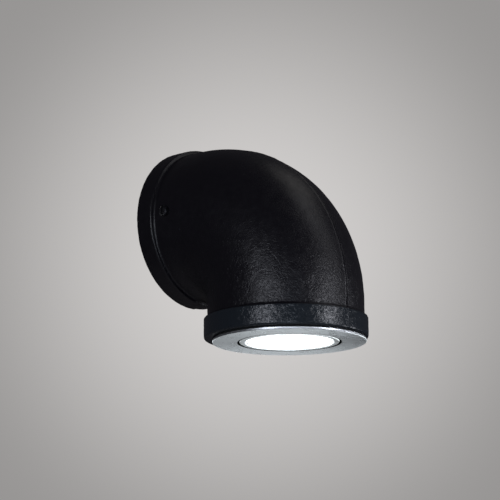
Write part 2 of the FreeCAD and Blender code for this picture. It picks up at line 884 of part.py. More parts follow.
def driver_case():
    """Driver housing: an open tray that stands on the tongue."""
    blank = box(
        "case_blank",
        about(0, S.driver_width),
        (DRIVER_FRONT, -S.driver_back),
        (DRIVER_BOTTOM, DRIVER_TOP - S.driver_lid),
    )
    hollow = box(
        "case_hollow",
        about(0, S.driver_width - S.driver_wall * 2),
        (DRIVER_FRONT + S.driver_wall, -S.driver_back - S.driver_wall),
        (DRIVER_BOTTOM + S.driver_wall, DRIVER_TOP),
    )
    wires = [
        rod(
            f"case_wire_{i}",
            "Y",
            (pole, LINK_HEIGHT),
            -S.driver_back - S.driver_wall,
            -S.driver_back,
            S.wire_radius + S.screw_clearance,
        )
        for i, pole in enumerate(POLES[:2])
    ]
    lead = rod(
        "case_lead",
        "Y",
        (0, LINK_HEIGHT),
        DRIVER_FRONT,
        DRIVER_FRONT + S.driver_wall,
        S.lead_radius + S.screw_clearance,
    )
    return keep(cut("case", blank, hollow, *wires, lead), "driver_case")


def driver_lid():
    """Driver lid: a plate with a rib that drops inside the case."""
    rib = S.driver_wall + S.part_gap
    plate = box(
        "lid_plate",
        about(0, S.driver_width),
        (DRIVER_FRONT, -S.driver_back),
        (DRIVER_TOP - S.driver_lid, DRIVER_TOP),
    )
    spigot = box(
        "lid_spigot",
        about(0, S.driver_width - rib * 2),
        (DRIVER_FRONT + rib, -S.driver_back - rib),
        (DRIVER_TOP - S.driver_lid * 2, DRIVER_TOP - S.driver_lid),
    )
    pocket = box(
        "lid_pocket",
        about(0, S.driver_width - rib * 4),
        (DRIVER_FRONT + rib * 2, -S.driver_back - rib * 2),
        (DRIVER_TOP - S.driver_lid * 2, DRIVER_TOP - S.driver_lid),
    )
    return keep(cut("lid", fuse("lid_solid", plate, spigot), pocket), "driver_lid")


def board_top():
    """Height of the driver board's component side."""
    return DRIVER_BOTTOM + S.driver_wall + S.board_lift + S.board_thickness


def driver_board():
    """Driver circuit board on two ribs, its pins trimmed below."""
    inset = S.driver_wall + S.board_gap
    board = box(
        "board_plate",
        about(0, S.driver_width - inset * 2),
        (DRIVER_FRONT + inset, -S.driver_back - inset),
        (board_top() - S.board_thickness, board_top()),
    )
    ribs = [
        box(
            f"board_rib_{i}",
            about(0, S.driver_width - inset * 4),
            about(DRIVER_FRONT + S.driver_length * share, S.board_thickness),
            (DRIVER_BOTTOM + S.driver_wall, board_top() - S.board_thickness),
        )
        for i, share in enumerate(RIB_PLACES)
    ]
    return keep(fuse("board", board, *ribs), "driver_board")


def driver_transformer():
    """Ferrite core and bobbin of the driver's transformer."""
    middle = DRIVER_FRONT + S.driver_length * TRANSFORMER_PLACE
    core = box(
        "core",
        about(0, S.core_size),
        about(middle, S.core_size * CORE_DEPTH),
        (board_top(), board_top() + S.core_height),
    )
    bobbin = box(
        "bobbin",
        about(0, S.core_size * BOBBIN_WIDTH),
        about(middle, S.core_size),
        (board_top(), board_top() + S.core_height * BOBBIN_HEIGHT),
    )
    return keep(fuse("transformer", core, bobbin), "driver_transformer")


def driver_capacitor():
    """Smoothing capacitor, lying on the board."""
    middle = DRIVER_FRONT + S.driver_length * CAPACITOR_PLACE
    low, high = about(0, S.capacitor_length)
    can = rod("can", "X", (middle, board_top() + S.capacitor_radius), low, high, S.capacitor_radius)
    return keep(can, "driver_capacitor")


def driver_strap():
    """Cable tie round the driver and the tongue."""
    middle = DRIVER_FRONT + S.driver_length / 2
    inner_x = S.driver_width + S.strap_gap * 2
    low = -S.tongue_thickness / 2 - S.strap_gap
    high = DRIVER_TOP + S.strap_gap
    loop = box(
        "strap_loop",
        about(0, inner_x + S.strap_thickness * 2),
        about(middle, S.strap_width),
        (low - S.strap_thickness, high + S.strap_thickness),
    )
    head = box(
        "strap_head",
        about(S.driver_width / 4, S.strap_width * TIE_HEAD),
        about(middle, S.strap_width * TIE_HEAD),
        (high, high + S.strap_thickness * TIE_HEAD_RISE),
    )
    hole = box("strap_hole", about(0, inner_x), about(middle, S.strap_width * 2), (low, high))
    return keep(cut("strap", fuse("strap_solid", loop, head), hole), "driver_strap")


def link_wire(label, pole):
    """Mains wire from a pole of the block up through the slot into the driver."""
    points = [
        (pole, WIRE_Y, block_middle() + S.part_gap),
        (pole, WIRE_Y, LINK_HEIGHT),
        (pole, -S.driver_back - S.driver_wall, LINK_HEIGHT),
    ]
    return keep(tube(f"{label}_run", points, [S.link_bend], S.wire_radius), label)


# The slack bow of the lamp lead: share of the way across to the lamp, run forward of the
# driver and rise above its outlet.
LEAD_BOW = [(0.0, -12.0, 0.0), (0.3, -23.0, -10.0), (0.7, -27.0, -25.0)]


def sink_top():
    """Height of the heat sink's top."""
    return sink_base_top() + S.fin_height


def lamp_lead():
    """Lamp lead: out of the driver's front, over in a slack bow and down into the heat sink."""
    points = [(0, DRIVER_FRONT + S.driver_wall, LINK_HEIGHT)]
    for share, forward, rise in LEAD_BOW:
        points.append((LAMP_X * share, DRIVER_FRONT + forward, LINK_HEIGHT + rise))
    points.append((*LAMP, sink_top() + S.lead_upright))
    points.append((*LAMP, sink_top() + S.gland_flange - S.gland_depth))
    bends = lead_bends(points)
    print("lamp_lead bend radii:", ", ".join(f"{bend:.1f}" for bend in bends))
    return keep(tube("lamp_lead_run", points, bends, S.lead_radius), "lamp_lead")


def lead_bends(points):
    """The largest tangent arcs that the runs allow, each on its share of the shorter run."""
    spots = [FreeCAD.Vector(*(as_size(c).value for c in point)) for point in points]
    bends = []
    for before, corner, after in zip(spots, spots[1:], spots[2:]):
        turn = (corner - before).getAngle(after - corner)
        run = min((corner - before).Length, (after - corner).Length)
        bends.append(BEND_SHARE * run / math.tan(turn / 2))
    return bends


# ---------------------------------------------------------------- downlight housing


def trim_ring():
    """Trim: a flat flange over the mouth, a neck inside it and two pairs of clip ears."""
    back = S.flange_thickness
    body = turned(
        "trim",
        [
            (TRIM_OPENING, 0),
            (TRIM_RADIUS, 0),
            (TRIM_RADIUS, back),
            (NECK_RADIUS, back),
            (NECK_RADIUS, S.neck_height),
            (TRIM_OPENING, S.neck_height),
        ],
        "Z",
        (*LAMP, FACE),
    )
    rounded(body, "rim", S.flange_round, (TRIM_RADIUS, 0))
    ears = []
    for side, sign in (("left", -1), ("right", 1)):
        inner = CLIP_PIN_X - S.ear_reach
        outer = CLIP_PIN_X + S.ear_reach
        x = (LAMP_X + inner, LAMP_X + outer) if sign > 0 else (LAMP_X - outer, LAMP_X - inner)
        for end, way in (("rear", 1), ("front", -1)):
            ears.append(
                box(
                    f"ear_{side}_{end}",
                    x,
                    about(LAMP_Y + ear_middle() * way, S.ear_thickness),
                    (FACE + S.neck_height - S.ear_root, FACE + S.clip_pin_height + S.ear_reach),
                )
            )
    clear = rod("trim_clear", "Z", LAMP, FACE, FACE + S.neck_height + S.ear_reach * 4, TRIM_OPENING)
    half = ear_middle() + S.ear_thickness
    tools = [clear, pivot_bore("trim_pivot", NECK_RADIUS + S.neck_wall)]
    for side, sign in (("left", -1), ("right", 1)):
        tools.append(
            rod(
                f"ear_hole_{side}",
                "Y",
                (clip_x(sign), FACE + S.clip_pin_height),
                LAMP_Y - half,
                LAMP_Y + half,
                S.clip_pin_radius + S.clip_pin_clearance,
            )
        )
    return keep(cut("trim_drilled", fuse("trim_eared", body, *ears), *tools), "trim_ring")


def ear_middle():
    """Distance from the lamp's middle plane to the middle of an ear."""
    return S.clip_arm_width / 2 + S.ear_gap + S.ear_thickness / 2


def clip_x(sign):
    """Where a clip's pin stands."""
    return LAMP_X + CLIP_PIN_X * sign


def pivot_bore(name, reach):
    """The pivot holes' axis, bored right across at running clearance."""
    return rod(
        name,
        "X",
        (LAMP_Y, PIVOT_Z),
        LAMP_X - reach,
        LAMP_X + reach,
        S.pivot_radius + S.pivot_clearance,
    )


def trim_gasket():
    """Foam gasket between the flange and the elbow's mouth."""
    inner = NECK_RADIUS + S.gasket_clearance
    outer = TRIM_RADIUS - S.gasket_inset
    gasket = ring("gasket", "Z", LAMP, MOUTH - S.gasket_thickness, MOUTH, inner, outer)
    return keep(gasket, "trim_gasket")


def pivot_screws():
    """Two shoulder screws through the neck that the lamp head tilts on."""
    tip = BEZEL_RADIUS - S.bezel_wall + S.part_gap * 3
    seat = NECK_RADIUS
    screws = []
    for side, sign in (("left", -1), ("right", 1)):
        points = [
            (0, tip),
            (S.pivot_radius, tip),
            (S.pivot_radius, seat),
            (S.pivot_head_radius, seat),
            (S.pivot_head_radius, seat + S.pivot_head_height),
            (0, seat + S.pivot_head_height),
        ]
        screw = turned(
            f"pivot_screw_{side}",
            [(r, height * sign) for r, height in points],
            "X",
            (LAMP_X, LAMP_Y, PIVOT_Z),
        )
        screws.append(screw)
    return keep(group("pivot_screw_pair", *screws), "pivot_screws")


def pivot_washers():
    """Friction washers between the neck and the lamp head."""
    middle = BEZEL_RADIUS + S.bezel_gap / 2
    low, high = about(middle, S.pivot_washer_thickness)
    inner = S.pivot_radius + S.pivot_clearance
    at = (LAMP_Y, PIVOT_Z)
    washers = [
        ring("washer_left", "X", at, LAMP_X - high, LAMP_X - low, inner, S.pivot_washer_radius),
        ring("washer_right", "X", at, LAMP_X + low, LAMP_X + high, inner, S.pivot_washer_radius),
    ]
    return keep(group("washer_pair", *washers), "pivot_washers")


# ---------------------------------------------------------------- lamp head


def stack(*layers):
    """Height above the face of the top of a stack of layers."""
    total = FACE + S.bezel_lip
    for layer in layers:
        total = total + layer
    return total


def glass_back():
    """Back of the seal and the front glass."""
    return stack(S.seal_thickness, S.glass_thickness)


def optic_back():
    """Back of the lenses, where the LED board lies."""
    return glass_back() + S.optic_height


def board_back():
    """Back of the LED board."""
    return optic_back() + S.board_thickness


def sink_front():
    """Front of the heat sink's base."""
    return board_back() + S.pad_thickness


def sink_base_top():
    """Back of the heat sink's base, where the fins start."""
    return sink_front() + S.sink_base


def bezel_ring():
    """Front ring of the lamp head, with a lip round the window."""
    window = BEZEL_BORE - S.window_inset
    body = turned(
        "bezel",
        [
            (window, 0),
            (BEZEL_RADIUS, 0),
            (BEZEL_RADIUS, S.bezel_height),
            (BEZEL_BORE, S.bezel_height),
            (BEZEL_BORE, S.bezel_lip),
            (window, S.bezel_lip),
        ],
        "Z",
        (*LAMP, FACE),
    )
    rounded(body, "edge", S.flange_round, (BEZEL_RADIUS, 0))
    drilled = cut("bezel_drilled", body, pivot_bore("bezel_pivot", BEZEL_RADIUS + S.bezel_gap))
    return keep(drilled, "bezel_ring")


def glass_seal():
    """Silicone seal between the bezel's lip and the glass."""
    outer = BEZEL_BORE - S.part_gap
    low = stack()
    seal = ring("seal", "Z", LAMP, low, low + S.seal_thickness, outer - S.seal_width, outer)
    return keep(seal, "glass_seal")


def front_glass():
    """Clear front glass."""
    front = stack(S.seal_thickness)
    glass = rod("glass", "Z", LAMP, front, front + S.glass_thickness, BEZEL_BORE - S.part_gap)
    return keep(glass, "front_glass")


def cell_circle():
    """Radius of the circle that the cells stand on: they touch the margin, a gap apart."""
    field = BEZEL_BORE - S.cell_margin
    return (field * 2 + S.cell_gap) / (2 + 2 * math.sin(math.pi / COLLIMATORS))


def cell_radius():
    """Radius of one cell."""
    return BEZEL_BORE - S.cell_margin - cell_circle()


def cell_spots():
    """Centres of the LED cells, about the lamp's axis."""
    spots = []
    circle = cell_circle()
    for i in range(COLLIMATORS):
        angle = math.radians(90 + 360 * i / COLLIMATORS)
        spots.append((LAMP_X + circle * math.cos(angle), LAMP_Y + circle * math.sin(angle)))
    return spots


def lens_holder():
    """White holder plate that carries the lenses and keeps them off the board."""
    outer = BEZEL_BORE - S.part_gap
    front = glass_back() + S.part_gap
    plate = rod("holder_plate_disc", "Z", LAMP, front, front + S.holder_plate, outer)
    skirt = ring(
        "holder_skirt",
        "Z",
        LAMP,
        front,
        optic_back(),
        outer - S.holder_plate,
        outer,
    )
    holes = [
        rod(f"holder_hole_{i}", "Z", spot, FACE, optic_back(), cell_radius() + S.part_gap)
        for i, spot in enumerate(cell_spots())
    ]
    return keep(cut("holder", fuse("holder_solid", plate, skirt), *holes), "lens_holder")


def collimator_lenses():
    """One cone lens over each LED, with a recess for the LED's dome."""
    front = glass_back() + S.part_gap
    lenses = []
    for i, spot in enumerate(cell_spots()):
        collar = rod(f"lens_collar_{i}", "Z", spot, front, front + S.holder_plate, cell_radius())
        flare = cone(
            f"lens_cone_{i}",
            "Z",
            spot,
            front + S.holder_plate,
            optic_back(),
            cell_radius(),
            S.cell_foot,
        )
        recess = rod(
            f"lens_recess_{i}",
            "Z",
            spot,
            optic_back() - S.emitter_height - S.part_gap * 3,
            optic_back(),
            S.cell_foot * RECESS_SHARE,
        )
        lenses.append(cut(f"lens_{i}", fuse(f"lens_solid_{i}", collar, flare), recess))
    return keep(group("lenses", *lenses), "collimator_lenses")


def led_emitters():
    """One LED package under each lens."""
    chips = [
        box(
            f"emitter_{i}",
            about(x, S.emitter_size),
            about(y, S.emitter_size),
            (optic_back() - S.emitter_height, optic_back()),
        )
        for i, (x, y) in enumerate(cell_spots())
    ]
    return keep(group("emitters", *chips), "led_emitters")


def board_screw_spots():
    """Where the LED board's screws stand: between the cells."""
    reach = LED_BOARD_RADIUS - S.board_screw_head * SCREW_INSET
    spots = []
    for i in range(COLLIMATORS):
        angle = math.radians(30 + 360 * i / COLLIMATORS)
        spots.append((LAMP_X + reach * math.cos(angle), LAMP_Y + reach * math.sin(angle)))
    return spots


def lead_hole(name, low, high, extra):
    """Hole on the lamp's axis for the lead."""
    return rod(name, "Z", LAMP, low, high, S.lead_radius + extra)


def led_board():
    """Aluminium-core LED board."""
    disc = rod("led_disc", "Z", LAMP, optic_back(), board_back(), LED_BOARD_RADIUS)
    holes = [
        rod(f"led_hole_{i}", "Z", spot, optic_back(), board_back(), S.board_screw_radius + S.screw_clearance)
        for i, spot in enumerate(board_screw_spots())
    ]
    return keep(cut("led_plate", disc, *holes), "led_board")


def thermal_pad():
    """Heat-conducting pad behind the LED board."""
    disc = rod("pad_disc", "Z", LAMP, board_back(), sink_front(), LED_BOARD_RADIUS)
    holes = [
        rod(f"pad_hole_{i}", "Z", spot, board_back(), sink_front(), S.board_screw_radius + S.screw_clearance)
        for i, spot in enumerate(board_screw_spots())
    ]
    return keep(cut("pad", disc, *holes), "thermal_pad")


def board_screws():
    """Screws through the LED board into the heat sink."""
    screws = []
    for i, spot in enumerate(board_screw_spots()):
        low = optic_back() - S.board_screw_radius
        head = rod(f"board_screw_head_{i}", "Z", spot, low, optic_back(), S.board_screw_head)
        shank = rod(
            f"board_screw_shank_{i}",
            "Z",
            spot,
            optic_back(),
            sink_front() + S.sink_base * SHANK_SHARE,
            S.board_screw_radius,
        )
        screws.append(fuse(f"board_screw_{i}", head, shank))
    return keep(group("board_screw_set", *screws), "board_screws")


def heat_sink():
    """Heat sink: a base that closes the bezel, a core and radial fins that taper upwards."""
    top = S.sink_base + S.fin_height
    base_radius = BEZEL_BORE - S.part_gap
    fin_root = BEZEL_BORE - S.fin_inset
    body = turned(
        "sink",
        [
            (0, 0),
            (base_radius, 0),
            (base_radius, S.sink_base),
            (S.sink_core_radius, S.sink_base),
            (S.sink_core_radius, top),
            (0, top),
        ],
        "Z",
        (*LAMP, sink_front()),
    )
    fin = body.newObject("PartDesign::Pad", "sink_fin")
    fin.Profile = profile(
        body,
        [
            (S.sink_core_radius / 2, S.sink_base / 2),
            (fin_root, S.sink_base / 2),
            (fin_root, S.sink_base),
            (fin_root - S.fin_taper, top),
            (S.sink_core_radius / 2, top),
        ],
    )
    bind(fin, "Length", S.fin_thickness)
    fin.SideType = "Symmetric"
    doc.recompute()
    fins = body.newObject("PartDesign::PolarPattern", "sink_fins")
    fins.Originals = [fin]
    fins.Axis = (origin_feature(body, "Z_Axis"), [""])
    fins.Angle = 360
    fins.Occurrences = FINS
    body.Tip = fins
    gland_top = sink_top()
    tools = [lead_hole("sink_lead", sink_front(), gland_top, S.gland_wall)]
    for i, spot in enumerate(board_screw_spots()):
        tools.append(
            rod(
                f"sink_tap_{i}",
                "Z",
                spot,
                sink_front(),
                sink_front() + S.sink_base * TAP_SHARE,
                S.board_screw_radius + S.screw_clearance,
            )
        )
    return keep(cut("sink_drilled", body, *tools), "heat_sink")


def lead_gland():
    """Bush that holds the lamp lead in the heat sink's core."""
    outer = S.lead_radius + S.gland_wall
    inner = S.lead_radius + S.screw_clearance
    body = turned(
        "gland",
        [
            (inner, S.gland_flange - S.gland_depth),
            (outer, S.gland_flange - S.gland_depth),
            (outer, 0),
            (S.sink_core_radius * GLAND_SHARE, 0),
            (S.sink_core_radius * GLAND_SHARE, S.gland_flange),
            (inner, S.gland_flange),
        ],
        "Z",
        (*LAMP, sink_top()),
    )
    return keep(body, "lead_gland")


# ---------------------------------------------------------------- side clips


def cavity_half_width(height):
    """Half the cavity's width along X, abreast of the lamp at a height inside the bend."""
    reach = math.hypot(LAMP_Y.value + STRAIGHT.value, height + S.bend_radius.value)
    return math.sqrt(CAVITY_RADIUS.value**2 - (reach - S.bend_radius.value) ** 2)


def clip_lean(sign):
    """Angle from upright at which a clip's tip stands its gap off the cavity wall."""
    pin_height = FACE.value + S.clip_pin_height.value
    height = pin_height + S.clip_arm_length.value
    wall = cavity_half_width(height) - S.clip_wall_gap.value - S.clip_tip_radius.value
    return math.degrees(math.asin((wall - clip_x(sign).value * sign) / S.clip_arm_length.value))


def at_clip(item, sign):
    """Stand a clip piece, drawn upright about its own pin, at its pin with its lean."""
    lean = FreeCAD.Rotation(FreeCAD.Vector(0, 1, 0), clip_lean(sign) * sign)
    return place(item, (clip_x(sign), LAMP_Y, FACE + S.clip_pin_height), lean)


def eye_radius():
    """Outer radius of the eye that a clip arm turns on."""
    return S.clip_pin_radius + S.clip_pin_clearance + S.clip_eye_wall


def clip_arm(side, sign):
    """Sprung arm: a strip that rolls into an eye round the pin."""
    half = S.clip_arm_width / 2
    eye = rod(f"arm_eye_{side}", "Y", (0, 0), -half, half, eye_radius())
    strip = box(
        f"arm_strip_{side}",
        about(0, S.clip_arm_thickness),
        (-half, half),
        (0, S.clip_arm_length),
    )
    bore = rod(f"arm_bore_{side}", "Y", (0, 0), -half, half, S.clip_pin_radius + S.clip_pin_clearance)
    notch = box(
        f"arm_notch_{side}",
        about(0, eye_radius() * NOTCH_SHARE),
        about(0, spring_span() + S.spring_gap * 2),
        about(0, eye_radius() * NOTCH_SHARE),
    )
    arm = cut(f"arm_{side}", fuse(f"arm_solid_{side}", eye, strip), bore, notch)
    return keep(at_clip(arm, sign), f"clip_arm_{side}")


def clip_tip(side, sign):
    """Rubber sleeve on the arm's free end."""
    half = S.clip_arm_width / 2
    top = S.clip_arm_length
    sleeve = rod(f"tip_round_{side}", "Y", (0, top), -half, half, S.clip_tip_radius)
    skirt = box(
        f"tip_skirt_{side}",
        about(0, S.clip_tip_radius * 2),
        (-half, half),
        (top - S.clip_tip_radius * SLEEVE_SHARE, top),
    )
    slit = box(
        f"tip_slit_{side}",
        about(0, S.clip_arm_thickness),
        (-half, half),
        (0, top),
    )
    tip = cut(f"tip_{side}", fuse(f"tip_solid_{side}", sleeve, skirt), slit)
    return keep(at_clip(tip, sign), f"clip_tip_{side}")


def clip_pins():
    """Pins through the ears that the arms turn on."""
    reach = ear_middle() + S.ear_thickness / 2
    pins = [
        rod(
            f"clip_pin_{side}",
            "Y",
            (clip_x(sign), FACE + S.clip_pin_height),
            LAMP_Y - reach,
            LAMP_Y + reach,
            S.clip_pin_radius,
        )
        for side, sign in (("left", -1), ("right", 1))
    ]
    return keep(group("clip_pin_pair", *pins), "clip_pins")


def spring_span():
    """Width of a clip spring's coil along the pin."""
    return S.spring_pitch * S.spring_turns + S.spring_wire * 2


def arc_from(start, heading, end):
    """The arc that leaves start in a heading and reaches end."""
    chord = end - start
    along_chord = chord * (1 / chord.Length)
    side = heading - along_chord * heading.dot(along_chord)
    bulge = chord.Length / 2 * math.tan(heading.getAngle(chord) / 2)
    middle = start + chord * 0.5 + side.normalize() * bulge
    return Part.Arc(start, middle, end).toShape()


def biarc(start, heading, end, last_heading):
    """Two tangent arcs from start to end that meet smoothly."""
    span = end - start
    turn = heading + last_heading
    a = turn.dot(turn) - 4
    b = -2 * span.dot(turn)
    c = span.dot(span)
    reach = (-b - math.sqrt(b * b - 4 * a * c)) / (2 * a)
    joint = ((start + heading * reach) + (end - last_heading * reach)) * 0.5
    onward = joint - (start + heading * reach)
    return [arc_from(start, heading, joint), arc_from(joint, onward.normalize(), end)]


def clip_spring(side, sign):
    """Torsion spring: a helix round the pin, one leg up the arm and one down to the neck.

    Helix: x = r cos t, z = r sin t, y = pitch t / 2 pi, in quarter turns of two arcs each."""
    radius = S.clip_pin_radius.value + S.spring_gap.value + S.spring_wire.value
    pitch = S.spring_pitch.value
    turns = S.spring_turns.value
    length = pitch * turns

    def spot(t):
        rise = pitch * t / (2 * math.pi) - length / 2
        return FreeCAD.Vector(radius * math.cos(t), rise, radius * math.sin(t))

    def heading(t):
        slope = FreeCAD.Vector(-radius * math.sin(t), pitch / (2 * math.pi), radius * math.cos(t))
        return slope.normalize()

    steps = [math.pi / 2 * i for i in range(int(turns * 4) + 1)]
    edges = []
    leg = S.spring_leg.value
    edges.append(Part.LineSegment(spot(0) - heading(0) * S.spring_foot.value, spot(0)).toShape())
    for first, last in zip(steps, steps[1:]):
        edges.extend(biarc(spot(first), heading(first), spot(last), heading(last)))
    end = steps[-1]
    edges.append(Part.LineSegment(spot(end), spot(end) + heading(end) * leg).toShape())
    print(f"clip_spring_{side}: least gap between turns {pitch - 2 * S.spring_wire.value:.2f} mm")
    spring = piped(f"spring_{side}", edges, heading(0), S.spring_wire)
    flip = FreeCAD.Rotation(FreeCAD.Vector(0, 0, 1), 0 if sign > 0 else 180)
    lean = FreeCAD.Rotation(FreeCAD.Vector(0, 1, 0), clip_lean(sign) * sign)
    spring.Placement = FreeCAD.Placement(
        FreeCAD.Vector(clip_x(sign).value, LAMP_Y.value, FACE.value + S.clip_pin_height.value),
        lean * flip,
    )
    return keep(spring, f"clip_spring_{side}")


# ---------------------------------------------------------------- assembly


def build():
    """Make every sub-part."""
    elbow_casting()
    side_screws()
    wall_plate()
    cable_grommet()
    terminal_block()
    terminal_clamps()
    terminal_screws()
    terminal_fixing_screw()
    ring_terminal()
    earth_screw()
    earth_washer()
    earth_wire()
    driver_case()
    driver_lid()
    driver_board()
    driver_transformer()
    driver_capacitor()
    driver_strap()
    link_wire("line_wire", POLES[0])
    link_wire("neutral_wire", POLES[1])
    lamp_lead()
    trim_ring()
    trim_gasket()
    pivot_screws()
    pivot_washers()
    bezel_ring()
    glass_seal()
    front_glass()
    lens_holder()
    collimator_lenses()
    led_emitters()
    led_board()
    board_screws()
    thermal_pad()
    heat_sink()
    lead_gland()
    clip_pins()
    for side, sign in (("left", -1), ("right", 1)):
        clip_arm(side, sign)
        clip_tip(side, sign)
        clip_spring(side, sign)


def check():
    """Stop on a failed object or a bad shape."""
    for item in doc.Objects:
        if "Invalid" in item.State or "Error" in item.State:
            raise RuntimeError(f"{item.Name} failed: {item.State}")
    for item in SUBPARTS:
        shape = item.Shape
        if shape.isNull() or not shape.isValid() or not shape.Solids:
            raise RuntimeError(f"{item.Label} has a bad shape")
        print(f"{item.Label}: {len(shape.Solids)} solid(s), {sum(s.Volume for s in shape.Solids):.1f} mm3")


def write():
    """Write one STEP file for each sub-part."""
    os.makedirs("parts", exist_ok=True)
    for item in SUBPARTS:
        item.Shape.exportStep(os.path.join("parts", f"{item.Label}.step"))


build()
doc.recompute()
check()
write()
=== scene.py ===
import math

import bpy
import numpy as np
from mathutils import Matrix, Vector


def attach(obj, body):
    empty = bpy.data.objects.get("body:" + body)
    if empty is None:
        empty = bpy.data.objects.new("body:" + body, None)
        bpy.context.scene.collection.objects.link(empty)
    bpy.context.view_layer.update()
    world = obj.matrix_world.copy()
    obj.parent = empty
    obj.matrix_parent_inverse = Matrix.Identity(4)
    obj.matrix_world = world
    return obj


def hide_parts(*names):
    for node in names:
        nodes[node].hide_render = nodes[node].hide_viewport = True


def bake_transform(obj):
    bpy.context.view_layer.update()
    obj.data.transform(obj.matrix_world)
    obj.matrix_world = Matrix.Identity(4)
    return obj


# Industrial pipe wall light: a black-enamelled cast elbow with a satin aluminium downlight in
# its mouth. Metres, in the CAD's frame: the wall is y = 0, +Z is up, the lamp faces -Z.

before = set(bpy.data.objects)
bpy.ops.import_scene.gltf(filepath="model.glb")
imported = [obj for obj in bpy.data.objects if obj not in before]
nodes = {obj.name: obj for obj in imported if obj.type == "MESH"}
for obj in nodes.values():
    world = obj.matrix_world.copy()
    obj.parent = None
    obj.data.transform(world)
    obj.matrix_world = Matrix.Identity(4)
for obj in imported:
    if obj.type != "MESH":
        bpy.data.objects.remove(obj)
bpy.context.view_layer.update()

MM = 0.001

# Elbow, as in the part's source: lengths along the centreline and radii about it.
BEND = 51.75 * MM
STRAIGHT = 19.45 * MM
BODY = 43.4 * MM
BAND = 45.6 * MM
BAND_LENGTH = 10.4 * MM
SHOULDER = 2.4 * MM
LIP_ROUND = 1.1 * MM
CAVITY = 37.8 * MM
SOCKET = 36.1 * MM
CHAMFER = 1.0 * MM
ARC = BEND * math.pi / 2
LENGTH = 2 * STRAIGHT + ARC
BAND_TOP = BAND_LENGTH - BEND - STRAIGHT

# Flat seats of the two side screws.
SCREW_Y = -19.7 * MM
SCREW_Z = 2.0 * MM
SEAT_X = 43.1 * MM
SEAT_RADIUS = 3.3 * MM
SEAT_EDGE = 0.35 * MM

# The casting's parting seam: its ridge, the groove to the right of it, along which the enamel's
# reflection is turned down to a painted shade line so far to each side, and the step down beyond. It
# is drawn where the sine of the angle off the side passes SEAM_REACH, above and below.
RIDGE_HEIGHT = 0.3 * MM
RIDGE_WIDTH = 0.48 * MM
GROOVE_X = 1.1 * MM
GROOVE_DEPTH = 0.3 * MM
GROOVE_WIDTH = 0.4 * MM
GROOVE_SHADE_HALF_WIDTH = 0.65 * MM
STEP_DEPTH = 0.55 * MM
STEP_WIDTH = 1.7 * MM
STEP_FADE = 16 * MM
SEAM_REACH = 0.7

# How far the bands are sunk, the scar that the casting's gate left at the mouth, and a lump beside it.
BAND_SUNK = 0.16 * MM
SCAR_WIDTH = 3.4 * MM
SCAR_SUNK = 0.08 * MM
SCAR_RIDGE = 0.12 * MM
LUMP_ANGLE = math.radians(112.6)
LUMP_FROM_MOUTH = 6.5 * MM
LUMP_HEIGHT = 0.14 * MM
LUMP_ACROSS = 1.1 * MM
LUMP_ALONG = 1.5 * MM

# Unevenness of the casting, in layers of (height, wavelength, seed). The seam's moves it to the side,
# and the ridge's is a share of the ridge's own height.
SAND_LUMPS = [(0.075 * MM, 10 * MM, 1), (0.03 * MM, 3.4 * MM, 2)]
BAND_GRIT = [(0.065 * MM, 3.4 * MM, 3), (0.02 * MM, 1.9 * MM, 4)]
SCAR_GRIT = [(0.13 * MM, 2.4 * MM, 5)]
SEAM_WANDER = [(0.25 * MM, 22 * MM, 11)]
RIDGE_SHARE = [(0.3, 5 * MM, 12)]

# Lamp: its axis, its trim's radius, the circle of its three cells and the gap round its bezel, whose walls
# are painted dark as shade.
LAMP = np.array([1.0, -72.7, 0.0]) * MM
TRIM = 42.6 * MM
CELL_CIRCLE = 12.2 * MM
GAP_SHADE_MIDDLE = 28.2 * MM
GAP_SHADE_HALF = 0.68 * MM

# The lamp's lead: its route from the driver to the heat sink, as in the part's source, in metres.
LEAD_ROUTE = [
    (0.0, -0.0525, 0.011),
    (0.0, -0.066, 0.011),
    (0.0003, -0.077, 0.001),
    (0.0007, -0.081, -0.014),
    (0.001, -0.0727, -0.0294),
    (0.001, -0.0727, -0.0462),
]
LEAD_RADIUS = 1.9 * MM
LEAD_ROUND = 0.35 * MM
LEAD_TIP = 0.76 * MM
LEAD_SIDES = 32


# ------------------------------------------------------------------ mesh helpers


def piece(name, points, faces, material, body=None, sharp=40):
    """One finished mesh at the origin, smooth but for edges steeper than `sharp` degrees."""
    mesh = bpy.data.meshes.new(name)
    mesh.from_pydata(points.reshape(-1, 3).tolist(), [], faces)
    mesh.shade_smooth()
    mesh.set_sharp_from_angle(angle=math.radians(sharp))
    mesh.materials.append(material)
    made = bpy.data.objects.new(name, mesh)
    bpy.context.scene.collection.objects.link(made)
    if body:
        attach(made, body)
    return made


def grid_faces(rows, columns, wrap_rows=False):
    """Quads of a grid whose columns close round, and whose rows may.

    Corner (i, j) is joined with (i, j + 1), (i + 1, j + 1) and (i + 1, j)."""
    i = np.arange(rows if wrap_rows else rows - 1)
    i, j = (part.ravel() for part in np.meshgrid(i, np.arange(columns), indexing="ij"))
    this_row, next_row = i * columns, (i + 1) % rows * columns
    next_j = (j + 1) % columns
    corners = [this_row + j, this_row + next_j, next_row + next_j, next_row + j]
    return np.stack(corners, axis=1).tolist()


def corner(before, at, after, radius, count):
    """Rounded corner of a profile: a quadratic curve that leaves and joins its sides `radius` from it."""
    before, at, after = (np.array(point, float) for point in (before, at, after))
    first = at + (before - at) / np.linalg.norm(before - at) * radius
    last = at + (after - at) / np.linalg.norm(after - at) * radius
    t = np.linspace(0, 1, count)[:, None]
    return (1 - t) ** 2 * first + 2 * t * (1 - t) * at + t**2 * last


def ripple(points, wavelength, seed):
    """Smooth unevenness of unit spread: the sum of 28 plane waves in random directions, each from 0.75 to
    1.35 of the wavelength long, divided by the square root of their number."""
    waves = 28
    random = np.random.default_rng(seed)
    heading = random.normal(size=(waves, 3))
    heading /= np.linalg.norm(heading, axis=1)[:, None]
    pace = 2 * math.pi / (wavelength * random.uniform(0.75, 1.35, waves))
    phase = random.uniform(0, 2 * math.pi, waves)
    return np.cos(points @ (heading * pace[:, None]).T + phase).sum(axis=-1) / math.sqrt(waves)


